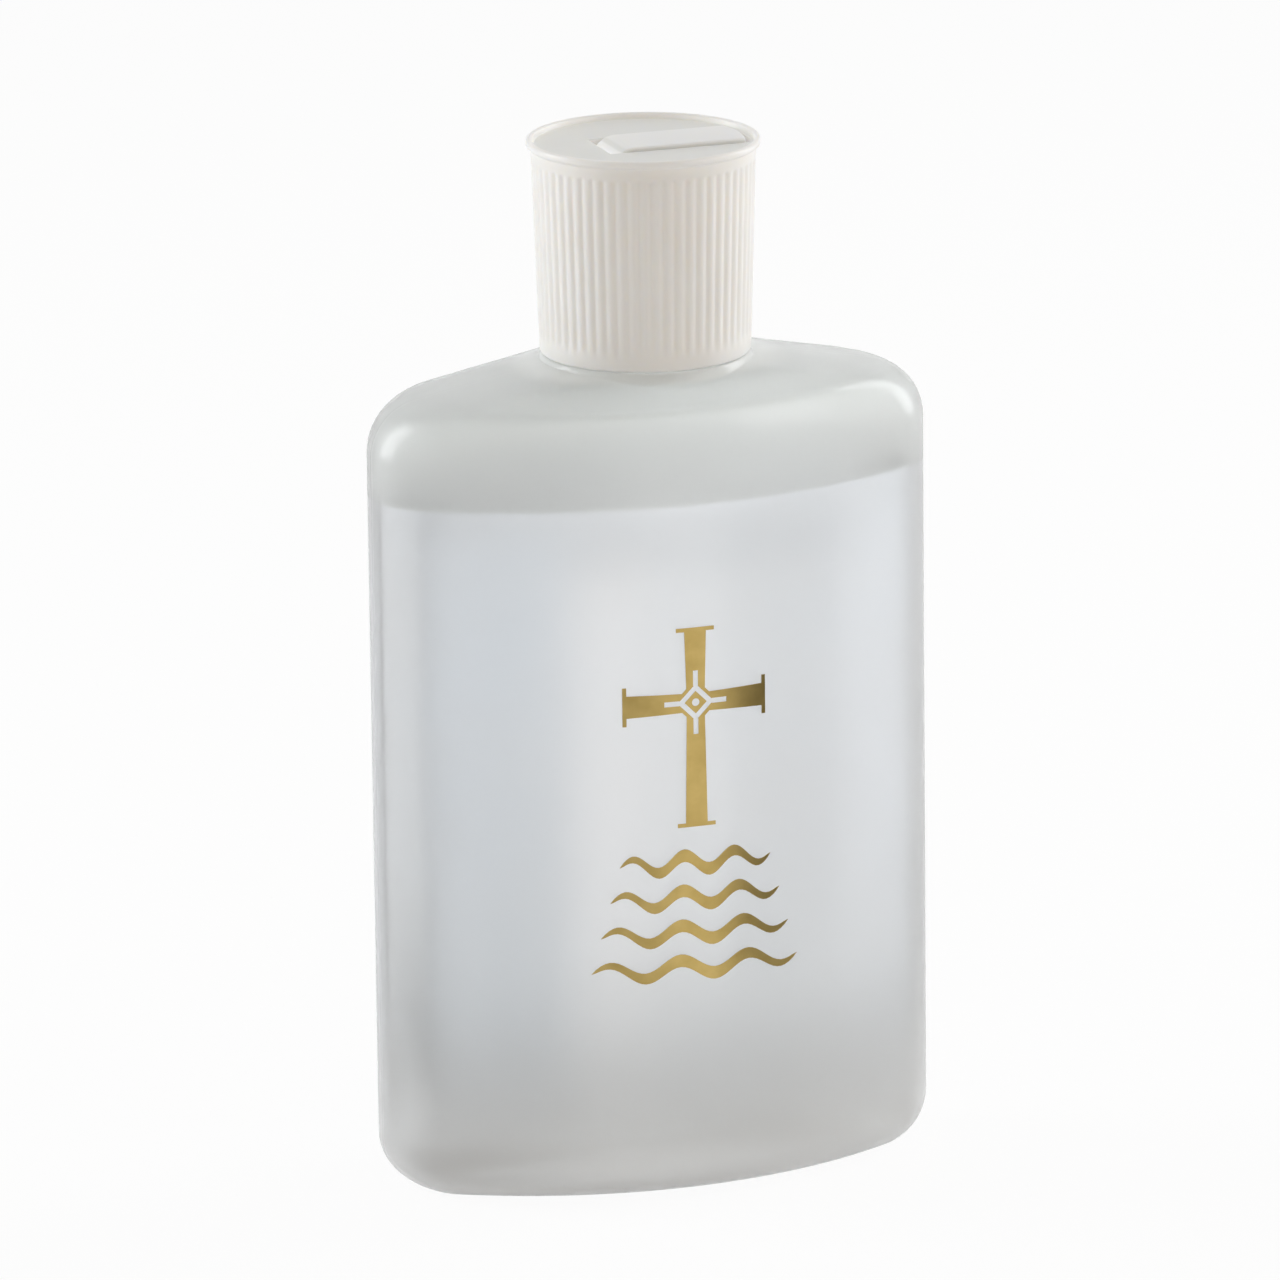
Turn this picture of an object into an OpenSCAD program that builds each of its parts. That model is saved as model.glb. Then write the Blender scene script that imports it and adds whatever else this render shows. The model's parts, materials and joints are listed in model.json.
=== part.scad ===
// A flat oval squeeze bottle with a ribbed screw cap, a flip-up spout and gold foil on its front.
// Millimetres, +Z up, +X to the right and -Y to the front. The origin is the middle of the standing face.

/* [Bottle] */
// Width of the bottle from end to end
bottle_width = 65.4; // [54:0.1:90]
// Depth of the bottle from front to back
bottle_depth = 31.7; // [28:0.1:44]
// Height at which the shoulder meets the neck
shoulder_height = 95.3; // [92:0.1:140]
// Radius of the round ends, seen from above
end_radius = 9.9; // [9:0.1:12]
// Radius from the faces into the base
face_base_radius = 4.5; // [3:0.1:6]
// Radius from the ends into the base
end_base_radius = 6.2; // [3:0.1:7]
// Radius from the ends into the shoulder
shoulder_radius = 6.5; // [3:0.1:9]
// Slope of the shoulder, in degrees
shoulder_slope = 10.7; // [5:0.1:16]
// Thickness of the bottle's wall
bottle_wall = 1; // [0.6:0.1:1.5]
// Width of the ring that the bottle stands on
standing_width = 2; // [0.8:0.1:2.6]
// Height of the hollow in the middle of the base
base_hollow = 1.5; // [0.5:0.1:3]

/* [Neck and thread] */
// Diameter of the neck at the root of its thread
neck_diameter = 17.6; // [17:0.1:19.5]
// Diameter of the bore through the neck
neck_bore = 13.8; // [11:0.1:14.4]
// Height of the neck from the shoulder to its mouth
neck_height = 14; // [12:0.1:16]
// Radius of the sweep from the shoulder into the neck
neck_sweep = 1.85; // [1.2:0.05:2.4]
// Radius of the round land under the cap
collar_radius = 11.9; // [11:0.1:12.2]
// Height of the land above the foot of the neck's sweep
collar_rise = 0.05; // [0.02:0.01:0.1]
// Depth of the land's wall down into the shoulder
collar_depth = 1.6; // [1.2:0.1:2]
// Growth of the land's radius down to its foot
collar_draft = 0.4; // [0.1:0.05:0.8]
// Bevel at the land's edge
collar_bevel = 0.3; // [0.1:0.05:0.5]
// Rise of the thread in one turn
thread_pitch = 3.175; // [2.8:0.005:3.6]
// Turns of the thread
thread_turns = 1.5; // [1:0.25:1.75]
// Height of the thread's ridge above its root
thread_depth = 1.1; // [0.8:0.05:1.3]
// Width of the thread's ridge at its root
thread_width = 1.7; // [1.2:0.05:1.9]
// Width of the thread's ridge at its crest
thread_crest = 0.7; // [0.4:0.05:0.9]
// Room between the two threads, along a radius
thread_room = 0.3; // [0.2:0.05:0.4]
// Distance from the mouth down to the middle of the thread's upper end
thread_start = 1.6; // [1.3:0.1:2.2]

/* [Cap] */
// Height of the cap
cap_height = 24.4; // [22.5:0.1:28]
// Gap between the cap's skirt and the shoulder
cap_gap = 0.3; // [0.25:0.05:1.5]
// Thickness of the skirt at its foot, without its ribs
skirt_wall = 1.4; // [1:0.05:2]
// Growth of the cap's radius from its foot to its rim
cap_flare = 0.75; // [0.4:0.05:1.5]
// Overhang of the rim past the skirt
rim_overhang = 0.85; // [0.5:0.05:1.4]
// Height of the rim
rim_height = 0.9; // [0.9:0.1:1.8]
// Width of the rim's top
rim_width = 0.75; // [0.7:0.05:1.4]
// Depth of the deck below the rim's top
deck_drop = 0.7; // [0.5:0.05:1]
// Thickness of the deck
deck_thickness = 1.2; // [0.8:0.1:1.6]
// Bevel at the rim and at the foot of the skirt
cap_bevel = 0.35; // [0.1:0.05:0.5]
// Ribs round the skirt
rib_count = 58; // [30:1:64]
// Height of a rib above the skirt
rib_height = 0.3; // [0.2:0.05:0.5]
// Width of a rib at the skirt
rib_width = 0.8; // [0.4:0.05:1]
// Width of a rib at its crest
rib_crest = 0.4; // [0.2:0.05:0.5]
// Plain band between the foot of the skirt and the ribs
foot_band = 1.2; // [1:0.1:3]
// Plain band between the ribs and the rim
head_band = 1.2; // [1:0.1:3]

/* [Liner] */
// Thickness of the sealing liner
liner_thickness = 1; // [0.6:0.1:1.4]
// Width of the liner from its hole to its edge
liner_width = 2.1; // [1.7:0.1:2.4]
// Width of the cap's ring that presses on the liner
press_width = 1.6; // [1:0.1:1.7]

/* [Flip spout] */
// Width of the lever
lever_width = 7.4; // [6:0.1:9]
// Thickness of the lever's plate
lever_thickness = 1.2; // [0.9:0.1:1.5]
// Reach of the lever's tip from the middle of the cap
lever_reach = 11.5; // [10.5:0.1:11.6]
// Reach of the spout tube's mouth from the middle of the cap
spout_reach = 9.9; // [8.5:0.1:10]
// Gap between the lever's tip and the end of its trough
tip_gap = 0.4; // [0.3:0.05:0.5]
// Height of the lever above the deck
lever_proud = 0.4; // [0.2:0.05:0.6]
// Distance of the pivot behind the middle of the cap
pivot_offset = 2.2; // [1.5:0.1:2.6]
// Radius of the valve drum round the pivot
drum_radius = 2.7; // [2.4:0.05:3]
// Outer radius of the spout tube under the lever
spout_radius = 1.9; // [1.6:0.05:2.1]
// Radius of the passage through the spout
spout_bore = 1.1; // [0.7:0.05:1.3]
// Radius of the trunnions
trunnion_radius = 1.2; // [0.8:0.05:1.6]
// Length of a trunnion
trunnion_length = 1; // [0.6:0.1:1.2]
// Radius of the orifice under the drum
orifice_radius = 1.3; // [0.8:0.05:1.5]
// Thickness of the walls round the lever's trough
trough_wall = 1.4; // [1:0.1:1.6]
// Room between the lever and its trough
lever_room = 0.25; // [0.15:0.05:0.4]
// Radial running clearance of the drum and the trunnions
running_clearance = 0.06; // [0.02:0.01:0.1]

/* [Foil] */
// Thickness of the foil
foil_thickness = 0.08; // [0.04:0.01:0.2]
// Height of the middle of the cross's arms above the standing face
cross_arm_height = 58.3; // [50:0.1:66]
// Reach of the cross above its arms
cross_above = 8.7; // [5:0.1:14]
// Reach of the cross below its arms
cross_below = 14.5; // [8:0.1:16]
// Reach of each arm from the middle
cross_reach = 8.5; // [5:0.1:13]
// Width of the stem and the arms at the crossing
cross_bar = 2.1; // [1.4:0.1:3]
// Growth of that width from the crossing to the ends
cross_flare = 0.5; // [0:0.1:1]
// Length of the bars across the ends
serif_length = 4.5; // [4.1:0.1:6]
// Thickness of the bars across the ends
serif_thickness = 0.45; // [0.3:0.05:0.8]
// Half the diagonal of the bare lozenge at the crossing
lozenge_half = 2.15; // [1.6:0.05:3]
// Width of the bare lines at the crossing
bare_line = 0.6; // [0.3:0.05:0.6]
// Width of the foil line round the bare lozenge
lozenge_border = 0.4; // [0.2:0.05:0.8]
// Radius of the bare dot in the lozenge
dot_radius = 0.45; // [0.2:0.05:0.6]
// Length of the bare ticks along the arms
tick_length = 1.2; // [0.4:0.1:2]
// Distance from the foot of the cross to the first wave
wave_drop = 4.2; // [3:0.1:8]
// Distance from one wave to the next
wave_step = 4.1; // [3:0.1:5]
// Length of the first wave
wave_length = 18; // [12:0.5:22]
// Growth in length from one wave to the next
wave_growth = 2.2; // [0:0.1:3]
// Swing of a wave to each side of its middle
wave_swing = 0.9; // [0.4:0.05:1.4]
// Thickness of a wave in its middle
wave_thickness = 1.5; // [0.6:0.1:1.8]

/* [Water] */
// Height of the water's surface above the standing face
water_height = 81; // [40:0.5:84]
// Gap between the water and the wall
water_gap = 0.1; // [0.05:0.05:0.3]

/* [Hidden] */
$fn = 96;

// Overlap that makes a cut or a joint of two solids sure
bite = 0.5;

// Plan of the bottle: two wide face arcs and two round ends, tangent to each other
half_width = bottle_width / 2;
half_depth = bottle_depth / 2;
end_centre = half_width - end_radius;
face_radius = (end_centre * end_centre + half_depth * half_depth - end_radius * end_radius)
    / (2 * (half_depth - end_radius));
face_centre = face_radius - half_depth;
face_angle = atan2(end_centre, face_centre);
face_steps = 20;
end_steps = 18;

// Heights and radii of the neck
neck_radius = neck_diameter / 2;
bore_radius = neck_bore / 2;
sweep_foot = neck_radius + neck_sweep;
mouth_height = shoulder_height + neck_height;
collar_top = shoulder_height + collar_rise;

// The shoulder's corner ends where the slope starts
corner_angle = 90 - shoulder_slope;
corner_end = half_width - shoulder_radius * (1 - cos(corner_angle));
slope_rise = (corner_end - sweep_foot) * tan(shoulder_slope);
wall_top = shoulder_height - slope_rise - shoulder_radius * sin(corner_angle);

// Steps along the rounded parts of the bottle's profile
fillet_steps = 6;
corner_steps = 6;
slope_steps = 3;
sweep_steps = 3;
sweep_end = 70;
hollow_steps = 4;

// Thread sections
thread_sides = 24;
thread_fade = 30;
thread_low = mouth_height - thread_start - thread_turns * thread_pitch;

// Heights and radii of the cap
cap_foot = shoulder_height + cap_gap;
cap_top = cap_foot + cap_height;
rim_foot = cap_top - rim_height;
deck_top = cap_top - deck_drop;
deck_foot = deck_top - deck_thickness;
cap_inside = neck_radius + thread_depth + thread_room;
cap_ridge_depth = cap_inside - (neck_radius + thread_room) / cos(180 / thread_sides);
foot_radius = cap_inside + skirt_wall;
head_radius = foot_radius + cap_flare;
rim_radius = head_radius + rim_overhang;
deck_radius = rim_radius - rim_width;
flare_angle = atan2(cap_flare, rim_foot - cap_foot);
rib_foot = cap_foot + foot_band;
rib_length = rim_foot - head_band - rib_foot;
// The plain bands cover the ribs' ends by a hair
band_proud = rib_height + 0.02;
band_overlap = 0.3;

// The liner and the ring of the cap that presses on it
liner_inner = bore_radius;
liner_outer = bore_radius + liner_width;
liner_top = mouth_height + liner_thickness;

// The pivot, the lever and the trough round them
pivot_x = -pivot_offset;
lever_top = deck_top + lever_proud;
pivot_z = lever_top - drum_radius;
seat_radius = drum_radius + running_clearance;
trough_half = lever_width / 2 + lever_room;
// The lower corner of the tube's mouth swings out a little before it rises
spout_swing = norm([spout_reach - pivot_x, spout_radius]) + pivot_x;
trough_radius = spout_swing + tip_gap;
trough_floor = pivot_z - spout_radius - lever_room;
// The lever's tip lies over a ledge
ledge_radius = lever_reach + tip_gap;
ledge_top = lever_top - lever_thickness - lever_room;
trough_back = pivot_x - drum_radius - lever_room;
housing_half = lever_width / 2 + trunnion_length + trough_wall;
housing_back = trough_back - trough_wall;
housing_foot = pivot_z - seat_radius - trough_wall;

// Places of the foil
cross_foot = cross_arm_height - cross_below;
wave_count = 4;
wave_crests = 3;
wave_steps = 48;

// Sides of the wide cylinder that the foil lies on
foil_sides = 360;

// A point of the bottle's plan: heading is the direction of its outward normal, inset moves it inwards
function plan_point(heading, inset) =
    let (
        normal = [cos(heading), sin(heading)],
        on_face = atan2(abs(normal.x), abs(normal.y)) < face_angle,
        centre = on_face ? [0, -sign(normal.y) * face_centre] : [sign(normal.x) * end_centre, 0],
        radius = on_face ? face_radius : end_radius
    )
    centre + (radius - inset) * normal;

// Headings round the plan, counter-clockwise from the right end
function headings_between(from, to, steps) = [for (i = [0:steps - 1]) from + (to - from) * i / steps];

headings = concat(
    headings_between(face_angle - 90, 90 - face_angle, end_steps),
    headings_between(90 - face_angle, 90 + face_angle, face_steps),
    headings_between(90 + face_angle, 270 - face_angle, end_steps),
    headings_between(270 - face_angle, 270 + face_angle, face_steps)
);

function plan_ring(inset, z) = [for (h = headings) [each plan_point(h, inset), z]];

function round_ring(radius, z) = [for (h = headings) [radius * cos(h), radius * sin(h), z]];

// A ring of the shoulder, between the round neck and the oval plan; reach is its half width
function shoulder_ring(reach, inset, z) =
    let (share = (reach - sweep_foot) / (half_width - inset - sweep_foot))
    [for (h = headings)
        let (
            plan = plan_point(h, inset),
            neck = sweep_foot * [cos(h), sin(h)],
            p = share * plan + (1 - share) * neck
        )
        [p.x, p.y, z]
    ];

// The radius into the base, which grows from the faces to the ends
function base_radius(heading) =
    face_base_radius + (end_base_radius - face_base_radius) * pow(cos(heading), 2);

// A ring of the hollow under the base; share is 0 in its middle and 1 at the standing ring
function hollow_ring(share, inset) = [for (h = headings)
    [
        each share * plan_point(h, base_radius(h) + standing_width),
        inset + base_hollow * cos(90 * share)
    ]
];

// A ring of the fillet from the standing ring into the walls
function fillet_ring(turn, inset) = [for (h = headings)
    let (
        outer = base_radius(h),
        radius = outer - inset
    )
    [each plan_point(h, outer - radius * sin(turn)), outer - radius * cos(turn)]
];

// Rings of the base, moved inwards by inset, from its hollow up to the foot of the walls
function base_rings(inset) = concat(
    [for (i = [1:hollow_steps]) hollow_ring(i / hollow_steps, inset)],
    [for (i = [0:fillet_steps]) fillet_ring(90 * i / fillet_steps, inset)]
);

// Rings of the shoulder's corner and slope, moved inwards by inset, up to a stated reach
function shoulder_rings(inset, end_reach) =
    let (
        radius = shoulder_radius - inset,
        centre = half_width - shoulder_radius,
        start_reach = centre + radius * cos(corner_angle),
        start_z = wall_top + radius * sin(corner_angle)
    )
    concat(
        [for (i = [0:corner_steps])
            let (turn = corner_angle * i / corner_steps)
            shoulder_ring(centre + radius * cos(turn), inset, wall_top + radius * sin(turn))
        ],
        [for (i = [1:slope_steps])
            let (reach = start_reach + (end_reach - start_reach) * i / slope_steps)
            shoulder_ring(reach, inset, start_z + (start_reach - reach) * tan(shoulder_slope))
        ]
    );

// Rings of the sweep from the shoulder into the neck; the last one lies inside the neck's wall
function sweep_rings() =
    let (centre_z = shoulder_height + neck_sweep)
    concat(
        [for (i = [1:sweep_steps])
            let (turn = sweep_end * i / sweep_steps)
            round_ring(sweep_foot - neck_sweep * sin(turn), centre_z - neck_sweep * cos(turn))
        ],
        [round_ring((neck_radius + bore_radius) / 2, centre_z)]
    );

// The roof of the bottle's inside carries the slope on under the neck's bore
function cavity_roof() =
    let (
        reach = bore_radius - bite,
        sweep_z = shoulder_height - bottle_wall / cos(shoulder_slope)
    )
    [round_ring(reach, sweep_z + (sweep_foot - reach) * tan(shoulder_slope))];

// A closed solid through rings of the same count, each counter-clockwise seen from the last one
module skin(rings) {
    count = len(rings[0]);
    last = (len(rings) - 1) * count;
    sides = [for (i = [0:len(rings) - 2], j = [0:count - 1], half = [0, 1])
        let (
            low = i * count + j,
            low_next = i * count + (j + 1) % count
        )
        half == 0 ? [low, low + count, low_next + count] : [low, low_next + count, low_next]
    ];
    first_cap = [for (j = [0:count - 1]) j];
    last_cap = [for (j = [0:count - 1]) last + count - 1 - j];
    polyhedron([for (ring = rings) each ring], concat(sides, [first_cap, last_cap]));
}

// A thread's ridge on a cylinder: side is 1 for a ridge that stands out and -1 for one that stands in
module thread_ridge(root, depth, side, low) {
    sections = thread_turns * thread_sides;
    spread = (thread_width - thread_crest) / depth;
    rings = [for (i = [0:sections])
        let (
            angle = 360 * i / thread_sides,
            run = min(angle, 360 * thread_turns - angle),
            rise = (depth + bite / 2) * min(1, run / thread_fade) - bite / 2,
            inner = root - side * bite,
            outer = root + side * rise,
            wide = (thread_width + spread * bite) / 2,
            slim = (thread_width - spread * rise) / 2,
            buried = [[inner, -wide], [inner, wide]],
            crest = [[outer, slim], [outer, -slim]],
            section = side > 0 ? concat(buried, crest) : [crest[1], crest[0], buried[1], buried[0]],
            z = low + thread_pitch * i / thread_sides
        )
        [for (p = section) [p.x * cos(angle), p.x * sin(angle), z + p.y]]
    ];
    skin(rings);
}

// The round land that the foot of the cap lies over
module neck_collar() {
    rotate_extrude()
        polygon([
            [0, shoulder_height - collar_depth],
            [collar_radius + collar_draft, shoulder_height - collar_depth],
            [collar_radius, collar_top - collar_bevel],
            [collar_radius - collar_bevel, collar_top],
            [0, collar_top]
        ]);
}

// A cylinder along Y through the pivot
module pivot_cylinder(radius, half_length) {
    translate([pivot_x, half_length, pivot_z])
        rotate([90, 0, 0])
            cylinder(r = radius, h = 2 * half_length);
}

// A box from one corner to the opposite one
module block(low, high) {
    translate(low)
        cube(high - low);
}

module bottle() {
    color([0.87, 0.89, 0.89, 0.6])
        difference() {
            union() {
                skin(concat(base_rings(0), shoulder_rings(0, sweep_foot), sweep_rings()));
                translate([0, 0, shoulder_height])
                    cylinder(r = neck_radius, h = neck_height);
                thread_ridge(neck_radius, thread_depth, 1, thread_low);
                neck_collar();
            }
            skin(concat(base_rings(bottle_wall), shoulder_rings(bottle_wall, sweep_foot), cavity_roof()));
            translate([0, 0, shoulder_height - bottle_wall - bite])
                cylinder(r = bore_radius, h = neck_height + bottle_wall + 2 * bite);
        }
}

module water() {
    inset = bottle_wall + water_gap;
    color([0.8, 0.87, 0.95, 0.5])
        skin(concat(base_rings(inset), [plan_ring(inset, water_height)]));
}

// Bends a flat figure, drawn in X and Z, onto the front of the bottle
module foil() {
    translate([0, face_centre, 0])
        intersection() {
            difference() {
                cylinder(r = face_radius + foil_thickness, h = shoulder_height, $fn = foil_sides);
                translate([0, 0, -bite])
                    cylinder(r = face_radius, h = shoulder_height + 2 * bite, $fn = foil_sides);
            }
            translate([0, -face_centre, 0])
                rotate([90, 0, 0])
                    linear_extrude(half_depth + bite)
                        children();
        }
}

module lozenge(half) {
    polygon([[half, 0], [0, half], [-half, 0], [0, -half]]);
}

// One limb of the cross, which widens from the middle to its end bar
module cross_limb(reach) {
    end_bar = cross_bar + cross_flare;
    polygon([
        [-cross_bar / 2, 0],
        [cross_bar / 2, 0],
        [end_bar / 2, reach],
        [-end_bar / 2, reach]
    ]);
    translate([-serif_length / 2, reach - serif_thickness])
        square([serif_length, serif_thickness]);
}

module cross_figure() {
    reaches = [cross_reach, cross_above, cross_reach, cross_below];
    inner_half = lozenge_half - bare_line * sqrt(2);
    difference() {
        union() {
            for (i = [0:3])
                rotate(90 * i - 90)
                    cross_limb(reaches[i]);
            lozenge(lozenge_half + lozenge_border * sqrt(2));
        }
        difference() {
            lozenge(lozenge_half);
            lozenge(inner_half);
        }
        for (i = [0:3])
            rotate(90 * i)
                translate([-bare_line / 2, inner_half + bare_line])
                    square([bare_line, tick_length + bare_line]);
        circle(r = dot_radius);
    }
}

module foil_cross() {
    color([0.76, 0.63, 0.33])
        foil()
            translate([0, cross_arm_height])
                cross_figure();
}

// A ribbon that swings up and down and thins out to both ends
module wave_figure(length) {
    function middle(share) = wave_swing * sin(360 * wave_crests * share);
    function half_thickness(share) = wave_thickness / 2 * sqrt(sin(180 * share));
    function edge(share, side) = [(share - 0.5) * length, middle(share) + side * half_thickness(share)];
    upper = [for (i = [1:wave_steps - 1]) edge(i / wave_steps, 1)];
    lower = [for (i = [wave_steps:-1:0]) edge(i / wave_steps, -1)];
    polygon(concat(upper, lower));
}

module foil_waves() {
    color([0.76, 0.63, 0.33])
        foil()
            for (i = [0:wave_count - 1])
                translate([0, cross_foot - wave_drop - i * wave_step])
                    wave_figure(wave_length + i * wave_growth);
}

module sealing_liner() {
    color([0.93, 0.93, 0.91])
        translate([0, 0, mouth_height])
            difference() {
                cylinder(r = liner_outer, h = liner_thickness);
                translate([0, 0, -bite])
                    cylinder(r = liner_inner, h = liner_thickness + 2 * bite);
            }
}

// Radius of the skirt between its ribs
function skirt_radius(height) = foot_radius + (height - cap_foot) * tan(flare_angle);

// The skirt, the rim and the deck, turned in one profile and hollow from below
module cap_shell() {
    rotate_extrude()
        polygon([
            [0, deck_top],
            [deck_radius, deck_top],
            [deck_radius, cap_top - cap_bevel],
            [deck_radius + cap_bevel, cap_top],
            [rim_radius - cap_bevel, cap_top],
            [rim_radius, cap_top - cap_bevel],
            [rim_radius, rim_foot + cap_bevel],
            [rim_radius - cap_bevel, rim_foot],
            [head_radius + band_proud, rim_foot],
            [skirt_radius(rib_foot + rib_length) + band_proud, rib_foot + rib_length],
            [skirt_radius(rib_foot + rib_length), rib_foot + rib_length],
            [skirt_radius(rib_foot), rib_foot],
            [skirt_radius(rib_foot) + band_proud, rib_foot],
            [foot_radius + band_proud, cap_foot + cap_bevel],
            [foot_radius + band_proud - cap_bevel, cap_foot],
            [cap_inside, cap_foot],
            [cap_inside, deck_foot],
            [0, deck_foot]
        ]);
}

// One rib along the flare of the skirt, with its ends in the plain bands
module cap_rib() {
    low = rib_foot - band_overlap;
    translate([skirt_radius(low), 0, low])
        rotate([0, flare_angle, 0])
            linear_extrude((rib_length + 2 * band_overlap) / cos(flare_angle))
                polygon([
                    [-bite, -rib_width / 2],
                    [0, -rib_width / 2],
                    [rib_height, -rib_crest / 2],
                    [rib_height, rib_crest / 2],
                    [0, rib_width / 2],
                    [-bite, rib_width / 2]
                ]);
}

// The walls of the lever's trough and the ring that presses on the liner, both hung from the deck
module spout_housing() {
    intersection() {
        block([housing_back, -housing_half, housing_foot], [foot_radius, housing_half, deck_foot + bite]);
        cylinder(r = cap_inside + bite, h = cap_top);
    }
    translate([0, 0, liner_top])
        difference() {
            cylinder(r = liner_outer, h = deck_foot + bite - liner_top);
            translate([0, 0, -bite])
                cylinder(r = liner_outer - press_width, h = deck_foot + bite - liner_top);
        }
}

// The space for the lever, its drum and its trunnions, with the orifice below
module spout_room() {
    intersection() {
        union() {
            block([pivot_x, -trough_half, trough_floor], [rim_radius, trough_half, cap_top]);
            block([trough_back, -trough_half, pivot_z], [pivot_x + bite, trough_half, cap_top]);
        }
        cylinder(r = trough_radius, h = cap_top);
    }
    intersection() {
        block([pivot_x, -trough_half, ledge_top], [rim_radius, trough_half, cap_top]);
        cylinder(r = ledge_radius, h = cap_top);
    }
    pivot_cylinder(seat_radius, trough_half);
    pivot_cylinder(trunnion_radius + running_clearance, lever_width / 2 + trunnion_length + lever_room);
    translate([pivot_x, 0, housing_foot - bite])
        cylinder(r = orifice_radius, h = pivot_z - housing_foot);
}

module cap_body() {
    color([0.95, 0.94, 0.91])
        difference() {
            union() {
                cap_shell();
                for (i = [0:rib_count - 1])
                    rotate(360 * i / rib_count)
                        cap_rib();
                spout_housing();
                thread_ridge(cap_inside, cap_ridge_depth, -1, thread_low - thread_pitch / 2);
            }
            spout_room();
        }
}

module flip_spout() {
    color([0.93, 0.92, 0.9])
        difference() {
            union() {
                pivot_cylinder(drum_radius, lever_width / 2);
                pivot_cylinder(trunnion_radius, lever_width / 2 + trunnion_length);
                intersection() {
                    block(
                        [pivot_x, -lever_width / 2, lever_top - lever_thickness],
                        [lever_reach, lever_width / 2, lever_top]
                    );
                    cylinder(r = lever_reach, h = cap_top);
                }
                translate([pivot_x, 0, pivot_z])
                    rotate([0, 90, 0])
                        cylinder(r = spout_radius, h = spout_reach - pivot_x);
            }
            translate([pivot_x - drum_radius - bite, 0, pivot_z])
                rotate([0, 90, 0])
                    cylinder(r = spout_bore, h = drum_radius + spout_reach - pivot_x + 2 * bite);
        }
}

bottle();
water();
foil_cross();
foil_waves();
sealing_liner();
cap_body();
flip_spout();
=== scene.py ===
"""Looks of a holy water bottle: a squeeze bottle with water, gold foil, a screw cap and a flip spout.

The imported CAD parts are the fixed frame. Each class holds the sizes of one sub-assembly in millimetres,
builds its meshes where the CAD part is and dresses them. The bottle stands on the origin, its front
towards -Y.
"""

import json
import logging
import math
from collections.abc import Iterator
from contextlib import contextmanager
from dataclasses import dataclass
from enum import Enum

import bmesh
import bpy
import numpy as np
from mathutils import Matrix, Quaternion, Vector

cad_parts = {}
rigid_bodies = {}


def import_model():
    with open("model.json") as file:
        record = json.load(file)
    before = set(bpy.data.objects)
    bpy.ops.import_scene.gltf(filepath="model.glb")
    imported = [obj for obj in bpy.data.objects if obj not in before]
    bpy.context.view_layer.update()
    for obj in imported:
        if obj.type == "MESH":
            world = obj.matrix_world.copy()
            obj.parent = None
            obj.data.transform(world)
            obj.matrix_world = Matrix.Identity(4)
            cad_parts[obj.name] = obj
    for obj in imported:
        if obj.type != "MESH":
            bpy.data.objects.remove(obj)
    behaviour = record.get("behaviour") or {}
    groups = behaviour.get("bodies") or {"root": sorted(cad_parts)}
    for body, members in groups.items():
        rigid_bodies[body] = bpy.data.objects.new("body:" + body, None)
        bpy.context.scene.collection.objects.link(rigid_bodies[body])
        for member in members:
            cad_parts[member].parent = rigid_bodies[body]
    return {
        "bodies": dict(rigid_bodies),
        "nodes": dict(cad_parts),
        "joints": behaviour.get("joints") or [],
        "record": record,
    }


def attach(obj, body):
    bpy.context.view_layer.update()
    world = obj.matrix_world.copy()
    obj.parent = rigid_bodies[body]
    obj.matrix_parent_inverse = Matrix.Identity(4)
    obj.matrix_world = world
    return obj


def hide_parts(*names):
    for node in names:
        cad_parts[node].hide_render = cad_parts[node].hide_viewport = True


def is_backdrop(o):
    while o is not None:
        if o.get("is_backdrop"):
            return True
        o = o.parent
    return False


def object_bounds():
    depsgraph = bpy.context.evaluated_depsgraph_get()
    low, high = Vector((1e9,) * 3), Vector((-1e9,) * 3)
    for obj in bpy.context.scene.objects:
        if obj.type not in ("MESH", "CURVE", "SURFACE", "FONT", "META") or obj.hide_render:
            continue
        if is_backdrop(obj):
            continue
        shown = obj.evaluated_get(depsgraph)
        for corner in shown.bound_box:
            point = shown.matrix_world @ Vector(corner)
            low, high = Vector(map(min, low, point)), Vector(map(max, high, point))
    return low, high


MM = 0.001
IMAGE_SIDE = 1280
SENSOR_WIDTH = 36.0
NOISE_LOW = 0.3
NOISE_HIGH = 0.7
WHITE = (1.0, 1.0, 1.0, 1.0)
LOG = logging.getLogger("bottle")

Span = tuple[float, float]
Profile = list[Span]
Triple = tuple[float, float, float]
Colour = Triple
Piece = bpy.types.Object
Finish = bpy.types.Material
Socket = bpy.types.NodeSocket
Outputs = bpy.types.NodeOutputs
Tint = Colour | Socket
Number = float | Socket


class Close(Enum):
    """How an end of a loft is shut."""

    FACE = "one flat face"
    POLE = "a fan of triangles round a point"


class Fuse(Enum):
    """How one solid is joined with another."""

    ADD = "UNION"
    CUT = "DIFFERENCE"


# Meshes


def linked(name: str, data: bpy.types.ID) -> Piece:
    """Makes an object and links it to the scene at the origin.

    Args:
        name: Name of the object.
        data: Its mesh, lamp or camera.

    Returns:
        The object.
    """
    made = bpy.data.objects.new(name, data)
    bpy.context.scene.collection.objects.link(made)
    return made


def mesh_object(name: str, points: np.ndarray, faces: list[tuple[int, ...]]) -> Piece:
    """Makes a mesh object from points in millimetres.

    Args:
        name: Name of the object and its mesh.
        points: Array of points, one row each.
        faces: Corner numbers of each face, counter-clockwise seen from outside.

    Returns:
        The object, linked to the scene at the origin.
    """
    mesh = bpy.data.meshes.new(name)
    mesh.from_pydata((points * MM).tolist(), [], faces)
    mesh.update()
    return linked(name, mesh)


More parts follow.
